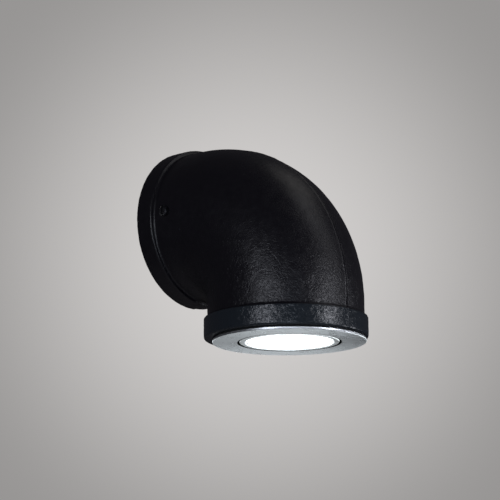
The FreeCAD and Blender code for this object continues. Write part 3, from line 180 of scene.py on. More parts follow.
def unevenness(points, layers):
    """Sum of ripples, each with its own height, wavelength and seed."""
    return sum(height * ripple(points, wavelength, seed) for height, wavelength, seed in layers)


def step(value, low, high):
    """Smooth rise from 0 at low to 1 at high: t t (3 - 2 t)."""
    t = np.clip((value - low) / (high - low), 0, 1)
    return t * t * (3 - 2 * t)


def bell(offset, width):
    """Bell curve of height 1: exp of minus the square of offset / width."""
    return np.exp(-((offset / width) ** 2))


def crowded(low, high, base, spots):
    """Values from low to high, `base` apart and closer together near spots.

    Each spot is (place, spread, how much closer); the values lie at even steps of the running sum of
    1 / base (1 + closer bell(value - place, spread))."""
    fine = np.linspace(low, high, 20001)
    density = np.ones_like(fine) / base
    for place, spread, closer in spots:
        density += closer / base * bell(fine - place, spread)
    total = np.concatenate([[0], np.cumsum((density[1:] + density[:-1]) / 2 * np.diff(fine))])
    return np.interp(np.linspace(0, total[-1], int(total[-1]) + 1), total, fine)


# ------------------------------------------------------------------ elbow


def centreline(s):
    """Point and outward direction at a distance s along the elbow: straight, quarter circle, straight."""
    turn = np.clip((s - STRAIGHT) / BEND, 0, math.pi / 2)
    y = -np.minimum(s, STRAIGHT) - BEND * np.sin(turn)
    z = -BEND * (1 - np.cos(turn)) - np.maximum(s - STRAIGHT - ARC, 0)
    nothing = np.zeros_like(s)
    return np.stack([nothing, y, z], -1), np.stack([nothing, -np.sin(turn), np.cos(turn)], -1)


def elbow_end():
    """(distance from the end face, radius) of one end: face, round lip, band, shoulder and its foot."""
    face_inner = SOCKET + CHAMFER
    band_end = (BAND_LENGTH + SHOULDER / 3, BAND)
    foot = (BAND_LENGTH + SHOULDER * 2 / 3, BODY)
    rounding = 1.0 * MM
    count = 9
    lip = np.linspace(0, math.pi / 2, count)[:, None]
    band_s = np.linspace(2.5, 9.3, count) * MM
    return np.concatenate(
        [
            [(0, face_inner), (0, (face_inner + BAND - LIP_ROUND) / 2)],
            np.hstack([LIP_ROUND * (1 - np.cos(lip)), BAND - LIP_ROUND * (1 - np.sin(lip))]),
            np.stack([band_s, np.full(count, BAND)], 1),
            corner((0, BAND), band_end, foot, rounding, count),
            corner(band_end, foot, (2 * BAND_LENGTH, BODY), rounding, count),
        ]
    )


def elbow_profile():
    """Closed (s, r) profile of the wall: rear end, body, mouth end, inside; and its number of outer rows.

    The body's rows are crowded near the side screws, so that the edges of their seats come out round."""
    rear = elbow_end()
    mouth = np.stack([LENGTH - rear[::-1, 0], rear[::-1, 1]], 1)
    row_step = 1.15 * MM
    by_screw = (-SCREW_Y, 4.2 * MM, 2.6)
    body_s = crowded(rear[-1, 0], mouth[0, 0], row_step, [by_screw])[1:-1]
    body = np.stack([body_s, np.full_like(body_s, BODY)], 1)
    inner_step = 0.8 * MM
    inside_s = np.linspace(LENGTH - STRAIGHT - inner_step, STRAIGHT + inner_step, 44)
    inside = np.concatenate(
        [
            [(LENGTH - CHAMFER, SOCKET), (LENGTH - STRAIGHT / 2, SOCKET), (LENGTH - STRAIGHT, SOCKET)],
            np.stack([inside_s, np.full_like(inside_s, CAVITY)], 1),
            [(STRAIGHT, SOCKET), (STRAIGHT / 2, SOCKET), (CHAMFER, SOCKET)],
        ]
    )
    return np.concatenate([rear, body, mouth, inside]), len(rear) + len(body) + len(mouth)


def casting_relief(points, s, angles, outside):
    """How far the casting stands out from its plain radius at each point, as a sum of waves and bells.

    Body: lumps of the sand mould, deepest low down. Seam, at the crown and the throat: a ridge, a groove
    beside it, and a step down to the mould's right half that fades round the side. Bands: a rougher skin,
    a little sunk. Mouth's band: the gate's scar at the crown, crossed by the ridge, and a lump."""
    from_end = np.minimum(s, LENGTH - s)
    on_band = outside * step(-from_end, -(BAND_LENGTH + 1.6 * MM), -(BAND_LENGTH - 0.2 * MM))
    on_body = (outside - on_band)[:, None]
    on_mouth = (on_band * (s > LENGTH / 2))[:, None]
    x, z = points[..., 0], points[..., 2]

    deeper = 0.4 + 0.6 * step(-z, -5 * MM, 40 * MM)
    relief = on_body * unevenness(points, SAND_LUMPS) * deeper

    by_seam = np.abs(np.sin(angles)) > SEAM_REACH
    off_seam = x - unevenness(points, SEAM_WANDER)
    ridge = bell(off_seam, RIDGE_WIDTH) * by_seam
    relief += on_body * RIDGE_HEIGHT * ridge * (0.75 + unevenness(points, RIDGE_SHARE))
    relief -= on_body * GROOVE_DEPTH * bell(off_seam - GROOVE_X, GROOVE_WIDTH) * by_seam
    right = np.maximum(off_seam, 0)
    lower = step(right, 0, STEP_WIDTH) * np.exp(-right / STEP_FADE) * by_seam
    relief -= outside[:, None] * STEP_DEPTH * lower

    relief += on_band[:, None] * (unevenness(points, BAND_GRIT) - BAND_SUNK)

    gate = bell(x, SCAR_WIDTH) * (np.sin(angles) > SEAM_REACH)
    scar = unevenness(points, SCAR_GRIT) - SCAR_SUNK
    relief += on_mouth * gate * (scar + SCAR_RIDGE * ridge)
    across = bell((angles - LUMP_ANGLE) * BAND, LUMP_ACROSS)
    along = bell(s - LENGTH + LUMP_FROM_MOUTH, LUMP_ALONG)
    return relief + LUMP_HEIGHT * along[:, None] * across * on_mouth


def elbow_surface():
    """Closed skin of the elbow: the wall's profile carried round the centreline.

    Point = centre(s) + radius (cos a X + sin a outward(s)), with a = 90 degrees at the crown. The radius
    is r inside, and outside it is r + relief, but never more than the band's. The two seats of the side
    screws are flat: x stops there at the seat's own. Columns are crowded at the sides and at the seam."""
    profile, outside_rows = elbow_profile()
    s, r = profile[:, 0], profile[:, 1]
    quarter = math.pi / 2
    at_side, at_seam = (0.085, 1.9), (0.035, 3.6)
    spots = [(turn * quarter, *(at_seam if turn % 2 else at_side)) for turn in range(-2, 3)]
    angles = crowded(-2 * quarter, 2 * quarter, math.radians(1.5), spots)[:-1]
    centre, outward = centreline(s)
    sideways = np.cos(angles)[None, :, None] * np.array([1.0, 0, 0])
    ring = sideways + np.sin(angles)[None, :, None] * outward[:, None, :]
    plain = centre[:, None, :] + r[:, None, None] * ring

    outside = np.zeros_like(s)
    outside[:outside_rows] = step(r[:outside_rows], BODY - 1.2 * MM, BODY - 0.4 * MM)
    radius = np.minimum(r[:, None] + casting_relief(plain, s, angles, outside), BAND)
    cast = centre[:, None, :] + radius[..., None] * ring
    points = np.where(outside[:, None, None] > 0, cast, plain)

    off_screw = np.hypot(points[..., 1] - SCREW_Y, points[..., 2] - SCREW_Z)
    seat = (1 - step(off_screw, SEAT_RADIUS, SEAT_RADIUS + SEAT_EDGE)) * (outside > 0.5)[:, None]
    flat = np.clip(points[..., 0], -SEAT_X, SEAT_X)
    points[..., 0] += (flat - points[..., 0]) * seat
    return points, grid_faces(len(s), len(angles), wrap_rows=True)


# ------------------------------------------------------------------ lead


def lead_middle():
    """Points along the quadratic spline of the lead's route."""
    data = bpy.data.curves.new("lead_route", "CURVE")
    data.dimensions = "3D"
    data.resolution_u = 16
    spline = data.splines.new("NURBS")
    spline.points.add(len(LEAD_ROUTE) - 1)
    for point, place in zip(spline.points, LEAD_ROUTE):
        point.co = (*place, 1)
    spline.order_u = 3
    spline.use_endpoint_u = True
    curve = bpy.data.objects.new("lead_route", data)
    line = bpy.data.meshes.new_from_object(curve)
    middle = np.array([vertex.co[:] for vertex in line.vertices])
    bpy.data.objects.remove(curve)
    bpy.data.meshes.remove(line)
    return middle


def smooth_lead():
    """The lamp's sheathed lead: a tube of even radius along its route.

    Point = route(t) + radius (cos a side + sin a other), side and other square to the route's direction;
    each end is rounded over by two smaller rings and closed by a flat face."""
    middle = lead_middle()
    along = np.gradient(middle, axis=0)
    along /= np.linalg.norm(along, axis=1)[:, None]
    side = np.cross(along, (1.0, 0.0, 0.0))
    side /= np.linalg.norm(side, axis=1)[:, None]
    other = np.cross(along, side)
    rows = np.concatenate([[0, 0], np.arange(len(middle)), [-1, -1]])
    centre = middle[rows]
    centre[2] += LEAD_ROUND * along[0]
    centre[-3] -= LEAD_ROUND * along[-1]
    radius = np.full(len(rows), LEAD_RADIUS)
    radius[[0, -1]] = LEAD_TIP
    radius[[1, -2]] = LEAD_RADIUS - LEAD_ROUND
    a = np.linspace(0, 2 * math.pi, LEAD_SIDES, endpoint=False)[None, :, None]
    ring = np.cos(a) * side[rows][:, None] + np.sin(a) * other[rows][:, None]
    points = centre[:, None] + radius[:, None, None] * ring
    first = list(range(LEAD_SIDES))
    last = [(len(rows) - 1) * LEAD_SIDES + i for i in first]
    faces = grid_faces(len(rows), LEAD_SIDES) + [first[::-1], last]
    return piece("sheathed_lead", points, faces, FINISHES["lead_sheath"], sharp=50)


# ------------------------------------------------------------------ materials


def linear(code):
    """An sRGB hex colour as linear light, with alpha 1."""
    parts = (int(code[i : i + 2], 16) / 255 for i in (1, 3, 5))
    return (*(c / 12.92 if c <= 0.04045 else ((c + 0.055) / 1.055) ** 2.4 for c in parts), 1.0)


def per(size):
    """Texture scale for a pattern whose features are `size` millimetres."""
    return 1 / (size * MM)


# The wave texture's crests lie 2 pi apart in this many times a scaled place.
RINGS_FACTOR = 20
DIAGONAL_FACTOR = 10


def add(tree, kind, settings=None, **inputs):
    """Add a node, with its settings, and its inputs as values or as links from other nodes' sockets.

    An input's name has _ for each space; at0, at1 and so on pick an input by its place instead."""
    node = tree.nodes.new(kind)
    for key, value in (settings or {}).items():
        setattr(node, key, value)
    for key, value in inputs.items():
        socket = node.inputs[int(key[2:])] if key.startswith("at") else node.inputs[key.replace("_", " ")]
        if isinstance(value, bpy.types.NodeSocket):
            tree.links.new(value, socket)
        else:
            socket.default_value = value
    return node


def surface(name, **constants):
    """A new material with a Principled shader whose constants are on its own sockets."""
    material = bpy.data.materials.new(name)
    material.use_nodes = True
    tree = material.node_tree
    tree.nodes.clear()
    shader = add(tree, "ShaderNodeBsdfPrincipled", **constants)
    add(tree, "ShaderNodeOutputMaterial", Surface=shader.outputs["BSDF"])
    return material, tree, shader


def lay_over(tree, shader, mask, colour=None, roughness=None):
    """Lay another finish over a worn one where the mask is 1: its colour, its roughness or both."""
    if colour:
        worn_colour = shader.inputs["Base Color"].links[0].from_socket
        new = linear(colour)
        both = add(tree, "ShaderNodeMix", {"data_type": "RGBA"}, at0=mask, at6=worn_colour, at7=new)
        tree.links.new(both.outputs[2], shader.inputs["Base Color"])
    if roughness:
        worn_gloss = shader.inputs["Roughness"].links[0].from_socket
        both = add(tree, "ShaderNodeMix", {"data_type": "FLOAT"}, at0=mask, at2=worn_gloss, at3=roughness)
        tree.links.new(both.outputs[0], shader.inputs["Roughness"])


def show_to(tree, shader, rays, other):
    """Let one kind of ray, named as on the Light Path node, meet another shader than the rest do."""
    kind = add(tree, "ShaderNodeLightPath").outputs[rays]
    both = add(tree, "ShaderNodeMixShader", at0=kind, at1=shader.outputs["BSDF"], at2=other.outputs[0])
    end = next(node for node in tree.nodes if node.type == "OUTPUT_MATERIAL")
    tree.links.new(both.outputs["Shader"], end.inputs["Surface"])


def worn(name, light, dark, patch, rough, grain, depth, stretch=(1, 1, 1), **constants):
    """A finish with drifting colour, drifting roughness and a fine grain.

    light, dark: its two colours; patch: size of their patches; rough: least and most roughness;
    grain: size of the grain, depth: its height, both in millimetres, as the patch is; stretch squeezes
    the grain along X, Y and Z, so that a small number there draws it out into brushing."""
    material, tree, shader = surface(name, **constants)
    place = add(tree, "ShaderNodeTexCoord").outputs["Object"]
    patches = add(tree, "ShaderNodeTexNoise", Vector=place, Scale=per(patch), Detail=3.0, Roughness=0.55)
    colour = add(
        tree,
        "ShaderNodeMix",
        {"data_type": "RGBA"},
        at0=patches.outputs["Fac"],
        at6=linear(dark),
        at7=linear(light),
    )
    tree.links.new(colour.outputs[2], shader.inputs["Base Color"])
    smears = add(tree, "ShaderNodeTexNoise", Vector=place, Scale=per(patch * 0.4), Detail=2.0)
    gloss = add(
        tree,
        "ShaderNodeMapRange",
        Value=smears.outputs["Fac"],
        From_Min=0.3,
        From_Max=0.7,
        To_Min=rough[0],
        To_Max=rough[1],
    )
    tree.links.new(gloss.outputs["Result"], shader.inputs["Roughness"])
    drawn = add(tree, "ShaderNodeMapping", Vector=place, Scale=stretch)
    texture = add(tree, "ShaderNodeTexNoise", Vector=drawn.outputs["Vector"], Scale=per(grain), Detail=4.0)
    bump = add(tree, "ShaderNodeBump", Height=texture.outputs["Fac"], Distance=depth * MM, Strength=1.0)
    tree.links.new(bump.outputs["Normal"], shader.inputs["Normal"])
    return material, tree, shader, bump


def cast_enamel():
    """Satin black stove enamel over sand-cast iron: the eye gets soft broad highlights that break into
    wormy orange peel, deepest low down where the coat ran thick, over faint lumps of the sand mould. The
    mouth's turned band took the coat smoother, so it is glossier; its colour is painted lighter and a
    little bluer, as painted bluish light. Along the groove beside the parting ridge the enamel's
    reflection is turned down to a dark line, as painted shade."""
    material, tree, shader, bump = worn(
        "black_enamel_on_cast_iron", "#151319", "#0e0c12", 9, (0.32, 0.42), 1.0, 0.012, IOR=1.5
    )
    place = add(tree, "ShaderNodeTexCoord").outputs["Object"]
    axes = add(tree, "ShaderNodeSeparateXYZ", Vector=place).outputs
    band = add(
        tree,
        "ShaderNodeMapRange",
        Value=axes["Z"],
        From_Min=BAND_TOP + 1.0 * MM,
        From_Max=BAND_TOP + 0.2 * MM,
    )
    band = band.outputs["Result"]
    # The band's lighter, bluer colour is painted bluish light; its lower roughness is its smoother coat.
    lay_over(tree, shader, band, "#242a30", 0.26)

    # Painted shade: a dark line along the groove, where the enamel's reflection is turned down off the
    # band.
    groove_shade = add(
        tree,
        "ShaderNodeMath",
        {"operation": "COMPARE"},
        at0=axes["X"],
        at1=GROOVE_X,
        at2=GROOVE_SHADE_HALF_WIDTH,
    )
    above = add(tree, "ShaderNodeMath", {"operation": "SUBTRACT"}, at0=groove_shade.outputs["Value"], at1=band)
    dull = add(tree, "ShaderNodeMapRange", Value=above.outputs["Value"], To_Min=0.5, To_Max=0.02)
    tree.links.new(dull.outputs["Result"], shader.inputs["Specular IOR Level"])

    peel = add(
        tree,
        "ShaderNodeTexNoise",
        Vector=place,
        Scale=per(2.0),
        Detail=2.0,
        Roughness=0.5,
        Distortion=1.6,
    )
    thick = add(
        tree,
        "ShaderNodeMapRange",
        Value=axes["Z"],
        From_Min=5 * MM,
        From_Max=-42 * MM,
        To_Min=0.12,
        To_Max=1.0,
    )
    thick = thick.outputs["Result"]
    calm = add(tree, "ShaderNodeMath", {"operation": "MULTIPLY"}, at0=band, at1=-0.25)
    depth = add(tree, "ShaderNodeMath", {"operation": "ADD"}, at0=thick, at1=calm.outputs["Value"])
    depth = depth.outputs["Value"]
    coat = add(tree, "ShaderNodeMath", {"operation": "MULTIPLY"}, at0=peel.outputs["Fac"], at1=depth)
    worms = add(tree, "ShaderNodeBump", Height=coat.outputs["Value"], Distance=0.3 * MM, Strength=1.0)
    tree.links.new(worms.outputs["Normal"], bump.inputs["Normal"])
    return material


def spun_aluminium(name, light, dark):
    """Satin anodised aluminium turned on a lathe: soft grey whose hair-fine rings spread a reflection
    across themselves, so that it is brightest where they run across the line of sight, and a softer
    sheen on the outer edge. The walls of the gap round the lamp head are painted dark, as painted shade.

    The hair-fine rings are too fine to draw, so the shader's own anisotropy stands for them. The wave
    texture adds faint broader rings, 2 pi times 0.9 mm, or 5.7 mm, apart."""
    material, tree, shader, bump = worn(
        name, light, dark, 14, (0.26, 0.32), 0.25, 0.003, Metallic=1.0, Anisotropic=0.75
    )
    place = add(tree, "ShaderNodeTexCoord").outputs["Object"]
    centred = add(tree, "ShaderNodeMapping", Vector=place, Location=(-LAMP[0], -LAMP[1], 0))
    centred = centred.outputs["Vector"]
    flat = add(tree, "ShaderNodeVectorMath", {"operation": "MULTIPLY"}, at0=centred, at1=(1, 1, 0))
    flat = flat.outputs["Vector"]
    tree.links.new(flat, shader.inputs["Tangent"])
    radius = add(tree, "ShaderNodeVectorMath", {"operation": "LENGTH"}, at0=flat).outputs["Value"]
    edge = add(
        tree,
        "ShaderNodeMapRange",
        Value=radius,
        From_Min=TRIM - 0.7 * MM,
        From_Max=TRIM - 0.3 * MM,
    )
    lay_over(tree, shader, edge.outputs["Result"], roughness=0.36)
    # Painted shade: the walls of the gap round the lamp head are coloured near black.
    gap = add(tree, "ShaderNodeMath", {"operation": "COMPARE"}, at0=radius, at1=GAP_SHADE_MIDDLE, at2=GAP_SHADE_HALF)
    lay_over(tree, shader, gap.outputs["Value"], "#141416")
    rings = add(
        tree,
        "ShaderNodeTexWave",
        {"wave_type": "RINGS", "rings_direction": "Z"},
        Vector=centred,
        Scale=per(0.9) / RINGS_FACTOR,
        Distortion=0.6,
        Detail=2.0,
    )
    turning = add(tree, "ShaderNodeBump", Height=rings.outputs["Fac"], Distance=0.004 * MM, Strength=1.0)
    tree.links.new(turning.outputs["Normal"], bump.inputs["Normal"])
    return material


def glowing(name, colour, glow, strength, **constants):
    """A part lit by the LEDs: its own gloss with an even glow."""
    material, tree, shader = surface(
        name,
        Base_Color=linear(colour),
        Emission_Color=linear(glow),
        Emission_Strength=strength,
        **constants,
    )
    place = add(tree, "ShaderNodeTexCoord").outputs["Object"]
    texture = add(tree, "ShaderNodeTexNoise", Vector=place, Scale=per(1.2), Detail=3.0)
    bump = add(tree, "ShaderNodeBump", Height=texture.outputs["Fac"], Distance=0.01 * MM, Strength=1.0)
    tree.links.new(bump.outputs["Normal"], shader.inputs["Normal"])
    return material


def lit_lenses():
    """Moulded acrylic collimators: blown out by their LEDs but for a duller dimple in the middle of each,
    which fades out from 2.6 to 3.6 mm off its axis. The first of the three is on the wall's side."""
    bright, dull = 4.0, 0.25
    material = glowing("lit_acrylic_lens", "#f4f6f7", "#f6faff", bright, Roughness=0.1)
    tree = material.node_tree
    shader = next(node for node in tree.nodes if node.type == "BSDF_PRINCIPLED")
    place = add(tree, "ShaderNodeTexCoord").outputs["Object"]
    flat = add(tree, "ShaderNodeVectorMath", {"operation": "MULTIPLY"}, at0=place, at1=(1.0, 1.0, 0.0))
    flat = flat.outputs["Vector"]
    nearest = None
    for angle in (math.pi / 2, math.pi * 7 / 6, math.pi * 11 / 6):
        middle = LAMP + CELL_CIRCLE * np.array([math.cos(angle), math.sin(angle), 0])
        gap = add(tree, "ShaderNodeVectorMath", {"operation": "DISTANCE"}, at0=flat, at1=middle)
        gap = gap.outputs["Value"]
        if nearest:
            least = add(tree, "ShaderNodeMath", {"operation": "MINIMUM"}, at0=nearest, at1=gap)
            gap = least.outputs["Value"]
        nearest = gap
    dimple = add(
        tree,
        "ShaderNodeMapRange",
        Value=nearest,
        From_Min=2.6 * MM,
        From_Max=3.6 * MM,
        To_Min=dull,
        To_Max=bright,
    )
    tree.links.new(dimple.outputs["Result"], shader.inputs["Emission Strength"])
    return material


def striped_insulation():
    """Green PVC with a yellow stripe that runs slantwise over it, as on an earth wire: one every 2 pi
    times 9 mm, or 57 mm, along each axis."""
    material, tree, shader, _ = worn("green_yellow_pvc", "#3f8f3a", "#37842f", 6, (0.4, 0.5), 0.4, 0.01)
    place = add(tree, "ShaderNodeTexCoord").outputs["Object"]
    bands = add(
        tree,
        "ShaderNodeTexWave",
        {"wave_type": "BANDS", "bands_direction": "DIAGONAL"},
        Vector=place,
        Scale=per(9) / DIAGONAL_FACTOR,
    )
    stripe = add(tree, "ShaderNodeMapRange", Value=bands.outputs["Fac"], From_Min=0.62, From_Max=0.68)
    lay_over(tree, shader, stripe.outputs["Result"], "#d9c425")
    return material


def circuit_board():
    """Green solder mask over copper tracks, which show through it as paler lines about 4 mm apart."""
    material, tree, shader, _ = worn("green_solder_mask", "#1f6a3c", "#175a30", 5, (0.25, 0.35), 0.5, 0.004)
    place = add(tree, "ShaderNodeTexCoord").outputs["Object"]
    edges = {"feature": "DISTANCE_TO_EDGE"}
    tracks = add(tree, "ShaderNodeTexVoronoi", edges, Vector=place, Scale=per(4.0))
    lines = add(tree, "ShaderNodeMapRange", Value=tracks.outputs["Distance"], From_Min=0.09, From_Max=0.05)
    lay_over(tree, shader, lines.outputs["Result"], "#3a8a55")
    return material


def lit_glass():
    """Clear toughened glass with the faint waviness of its making and the glare of the LEDs' light within
    it. A shadow ray goes straight through, so the LEDs light the bezel."""
    material, tree, shader = surface(
        "toughened_glass",
        Base_Color=linear("#f4fbf8"),
        Roughness=0.02,
        IOR=1.5,
        Transmission_Weight=1.0,
        Emission_Color=linear("#f7fbff"),
        Emission_Strength=0.42,
    )
    place = add(tree, "ShaderNodeTexCoord").outputs["Object"]
    texture = add(tree, "ShaderNodeTexNoise", Vector=place, Scale=per(4.0), Detail=1.0)
    bump = add(tree, "ShaderNodeBump", Height=texture.outputs["Fac"], Distance=0.004 * MM, Strength=1.0)
    tree.links.new(bump.outputs["Normal"], shader.inputs["Normal"])
    show_to(tree, shader, "Is Shadow Ray", add(tree, "ShaderNodeBsdfTransparent"))
    return material


# The finish of each of the CAD's slots. In a worn one: light and dark colour, patch, least and most
# roughness, grain and its depth. The comments say what each group gives the eye.
FINISHES = {
    "black_paint": cast_enamel(),
    # Oil-blacked steel: near black with a greasy grey sheen.
    "black_screw": worn(
        "black_oxide_steel", "#26262b", "#17171b", 2, (0.3, 0.45), 0.3, 0.01, Metallic=0.6
    )[0],
    # Zinc plate: a pale cool metal; on the folded sheet with the rolling's grain along X.
    "zinc_plate": worn(
        "zinc_plated_sheet", "#b9bab8", "#9d9f9f", 5, (0.28, 0.42), 0.6, 0.01, (0.15, 1, 1), Metallic=1.0
    )[0],
    "zinc_screw": worn(
        "zinc_plated_screw", "#c3c4c2", "#a8a9a9", 2, (0.22, 0.35), 0.3, 0.006, Metallic=1.0
    )[0],
    # Moulded rubber: dull charcoal.
    "black_rubber": worn("black_epdm_rubber", "#1d1d1e", "#151516", 3, (0.65, 0.8), 0.4, 0.02)[0],
    # Unpigmented nylon: milky, slightly warm, with a soft sheen.
    "white_nylon": worn("natural_nylon_moulding", "#dcdad2", "#d0cec5", 6, (0.35, 0.5), 0.5, 0.008)[0],
    # Drawn brass: warm yellow metal, its grain along Z; tinned copper: a greyer, softer metal.
    "brass": worn(
        "drawn_brass", "#c7a25a", "#b08c48", 3, (0.22, 0.38), 0.4, 0.005, (1, 1, 0.2), Metallic=1.0
    )[0],
    "tinned_copper": worn(
        "tinned_copper", "#c4c3bf", "#aaa9a6", 3, (0.3, 0.45), 0.4, 0.008, Metallic=1.0
    )[0],
    # Extruded PVC: even colour with a waxy sheen.
    "earth_insulation": striped_insulation(),
    "line_insulation": worn("brown_pvc", "#6b4028", "#5b351f", 6, (0.4, 0.5), 0.4, 0.01)[0],
    "neutral_insulation": worn("blue_pvc", "#2a63b8", "#2254a3", 6, (0.4, 0.5), 0.4, 0.01)[0],
    "lead_sheath": worn("white_pvc_sheath", "#dedcd6", "#d1cfc9", 6, (0.4, 0.5), 0.5, 0.01)[0],
    # The driver: a satin white moulding, a board, dull ferrite and a glossy shrunk sleeve, tied in place.
    "white_plastic": worn("white_moulded_pc", "#e2e2de", "#d6d6d2", 7, (0.38, 0.5), 0.5, 0.015)[0],
    "circuit_board": circuit_board(),
    "ferrite": worn("sintered_ferrite", "#3a3a3c", "#2b2b2d", 2, (0.5, 0.7), 0.3, 0.02)[0],
    "capacitor_sleeve": worn("pvc_shrink_sleeve", "#22242c", "#191b22", 4, (0.18, 0.28), 0.6, 0.01)[0],
    "black_nylon": worn("black_nylon_tie", "#1e1e20", "#151517", 4, (0.4, 0.55), 0.4, 0.015)[0],
    "satin_aluminium": spun_aluminium("spun_anodised_aluminium", "#d3d6d9", "#c6cacd"),
    # Closed-cell foam: dark and matt, with small open pores.
    "grey_foam": worn("closed_cell_foam", "#2b2b2c", "#1d1d1e", 1.2, (0.8, 0.95), 0.35, 0.08)[0],
    # The lit window: milky seal, glass, lenses, a white board and warm yellow phosphor.
    # The seal's glow is painted light from the LEDs.
    "clear_silicone": glowing("translucent_silicone", "#c9c9c7", "#f6faff", 0.8, Roughness=0.35),
    "clear_glass": lit_glass(),
    "clear_acrylic": lit_lenses(),
    "white_board": worn("white_solder_mask", "#eceae4", "#e2e0da", 5, (0.25, 0.35), 0.5, 0.004)[0],
    "led_phosphor": glowing("led_phosphor", "#f3e2a0", "#fff1cc", 6.0, Roughness=0.4),
    # Filled silicone: a dull putty grey; bare die-cast aluminium: pale, grainy and unpolished.
    "grey_silicone": worn("filled_silicone_pad", "#8b8f94", "#7c8085", 2, (0.6, 0.75), 0.3, 0.02)[0],
    "bare_aluminium": worn(
        "die_cast_aluminium", "#b4b6b8", "#9b9d9f", 4, (0.32, 0.5), 0.5, 0.02, Metallic=1.0
    )[0],
    # Bright drawn spring steel: sharp, slightly blue highlights.
    "spring_steel": worn(
        "bright_spring_steel", "#b8bbbf", "#9a9da1", 3, (0.18, 0.3), 0.3, 0.004, Metallic=1.0
    )[0],
}

for node in nodes.values():
    for slot in node.material_slots:
        if slot.material and slot.material.name.split(".")[0] in FINISHES:
            slot.material = FINISHES[slot.material.name.split(".")[0]]

# Two nodes are painted brighter than the finish of their slot, as painted light from the LEDs: the bezel by
# a lighter colour, the lens holder by a glow.
PAINTED_LAMP_LIGHT = {
    "bezel_ring": spun_aluminium("anodised_bezel_painted_lamp_light", "#f3f5f6", "#e9eced"),
    "lens_holder": glowing("lit_white_holder", "#eef1f2", "#f2f7fb", 1.5, Roughness=0.35),
}
for name, finish in PAINTED_LAMP_LIGHT.items():
    for slot in nodes[name].material_slots:
        slot.material = finish


# ------------------------------------------------------------------ pieces

points, faces = elbow_surface()
elbow = piece("cast_elbow", points, faces, FINISHES["black_paint"], "fixture")
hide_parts("elbow_casting")

lead = smooth_lead()
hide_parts("lamp_lead")
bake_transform(lead)


# ------------------------------------------------------------------ stage


def stage_material(name, colour, glow):
    """Plain matt backdrop colour, seen at an even brightness."""
    material, tree, shader = surface(name, Base_Color=linear(colour), Roughness=0.9)
    even = add(tree, "ShaderNodeEmission", Color=linear(colour), Strength=glow)
    show_to(tree, shader, "Is Camera Ray", even)
    return material


def floor():
    """A round pale floor of 4 m radius, 1.3 m below the light: a fan of 96 triangles round its middle."""
    radius, height, sides = 4, -1.3, 96
    angles = np.linspace(0, 2 * math.pi, sides, endpoint=False)
    rim = np.stack([radius * np.cos(angles), radius * np.sin(angles), np.full(sides, height)], 1)
    points = np.vstack([rim, [[0, 0, height]]])
    fan = [[sides, i, (i + 1) % sides] for i in range(sides)]
    ground = piece("floor", points, fan, stage_material("pale_floor", "#d6d3d0", 0.62))


def axes_from(azimuth, elevation, roll=0):
    """Right, up and back directions of a camera that stands at an azimuth and elevation, in degrees."""
    a, e, turn = (math.radians(angle) for angle in (azimuth, elevation, roll))
    back = Vector((math.sin(a) * math.cos(e), -math.cos(a) * math.cos(e), math.sin(e)))
    level = Vector((math.cos(a), math.sin(a), 0))
    upright = back.cross(level)
    right = level * math.cos(turn) + upright * math.sin(turn)
    up = upright * math.cos(turn) - level * math.sin(turn)
    return right, up, back


# The photograph's view: fitted azimuth, elevation and roll in degrees, distance and look-at point.
VIEW = axes_from(-48.217, -11.579, -0.526)
LOOK_AT = Vector((0, -50 * MM, -32 * MM))
DISTANCE = 1379.6 * MM
FOCAL_PIXELS = 2465.8
LOOK_AT_PIXEL = (257.0, 274.3)
BRIGHTEST_PIXEL = (252.5, 261.0)
FRAME_PIXELS = 500

# The backdrop's brightness: at its dimmest, what its middle has more, and how far that reaches.
DIMMEST = 0.312
MIDDLE_MORE = 0.344
REACH = 1.955

# The point that every light faces.
LIT_POINT = Vector((0, -60 * MM, -25 * MM))


def stand(thing, axes, target, distance):
    """Place a camera or lamp at a distance from its target, along its back direction."""
    right, up, back = axes
    turn = Matrix((right, up, back)).transposed().to_4x4()
    thing.matrix_world = Matrix.Translation(target + back * distance) @ turn
    bpy.context.scene.collection.objects.link(thing)


def photo_camera():
    """Camera at the photograph's viewing angle."""
    data = bpy.data.cameras.new("photo_camera")
    data.sensor_width = 36
    data.lens = FOCAL_PIXELS * data.sensor_width / FRAME_PIXELS
    data.shift_x = (FRAME_PIXELS / 2 - LOOK_AT_PIXEL[0]) / FRAME_PIXELS
    data.shift_y = (LOOK_AT_PIXEL[1] - FRAME_PIXELS / 2) / FRAME_PIXELS
    data.clip_start, data.clip_end = 0.05, 50
    camera = bpy.data.objects.new("photo_camera", data)
    stand(camera, VIEW, LOOK_AT, DISTANCE)
    bpy.context.scene.camera = camera


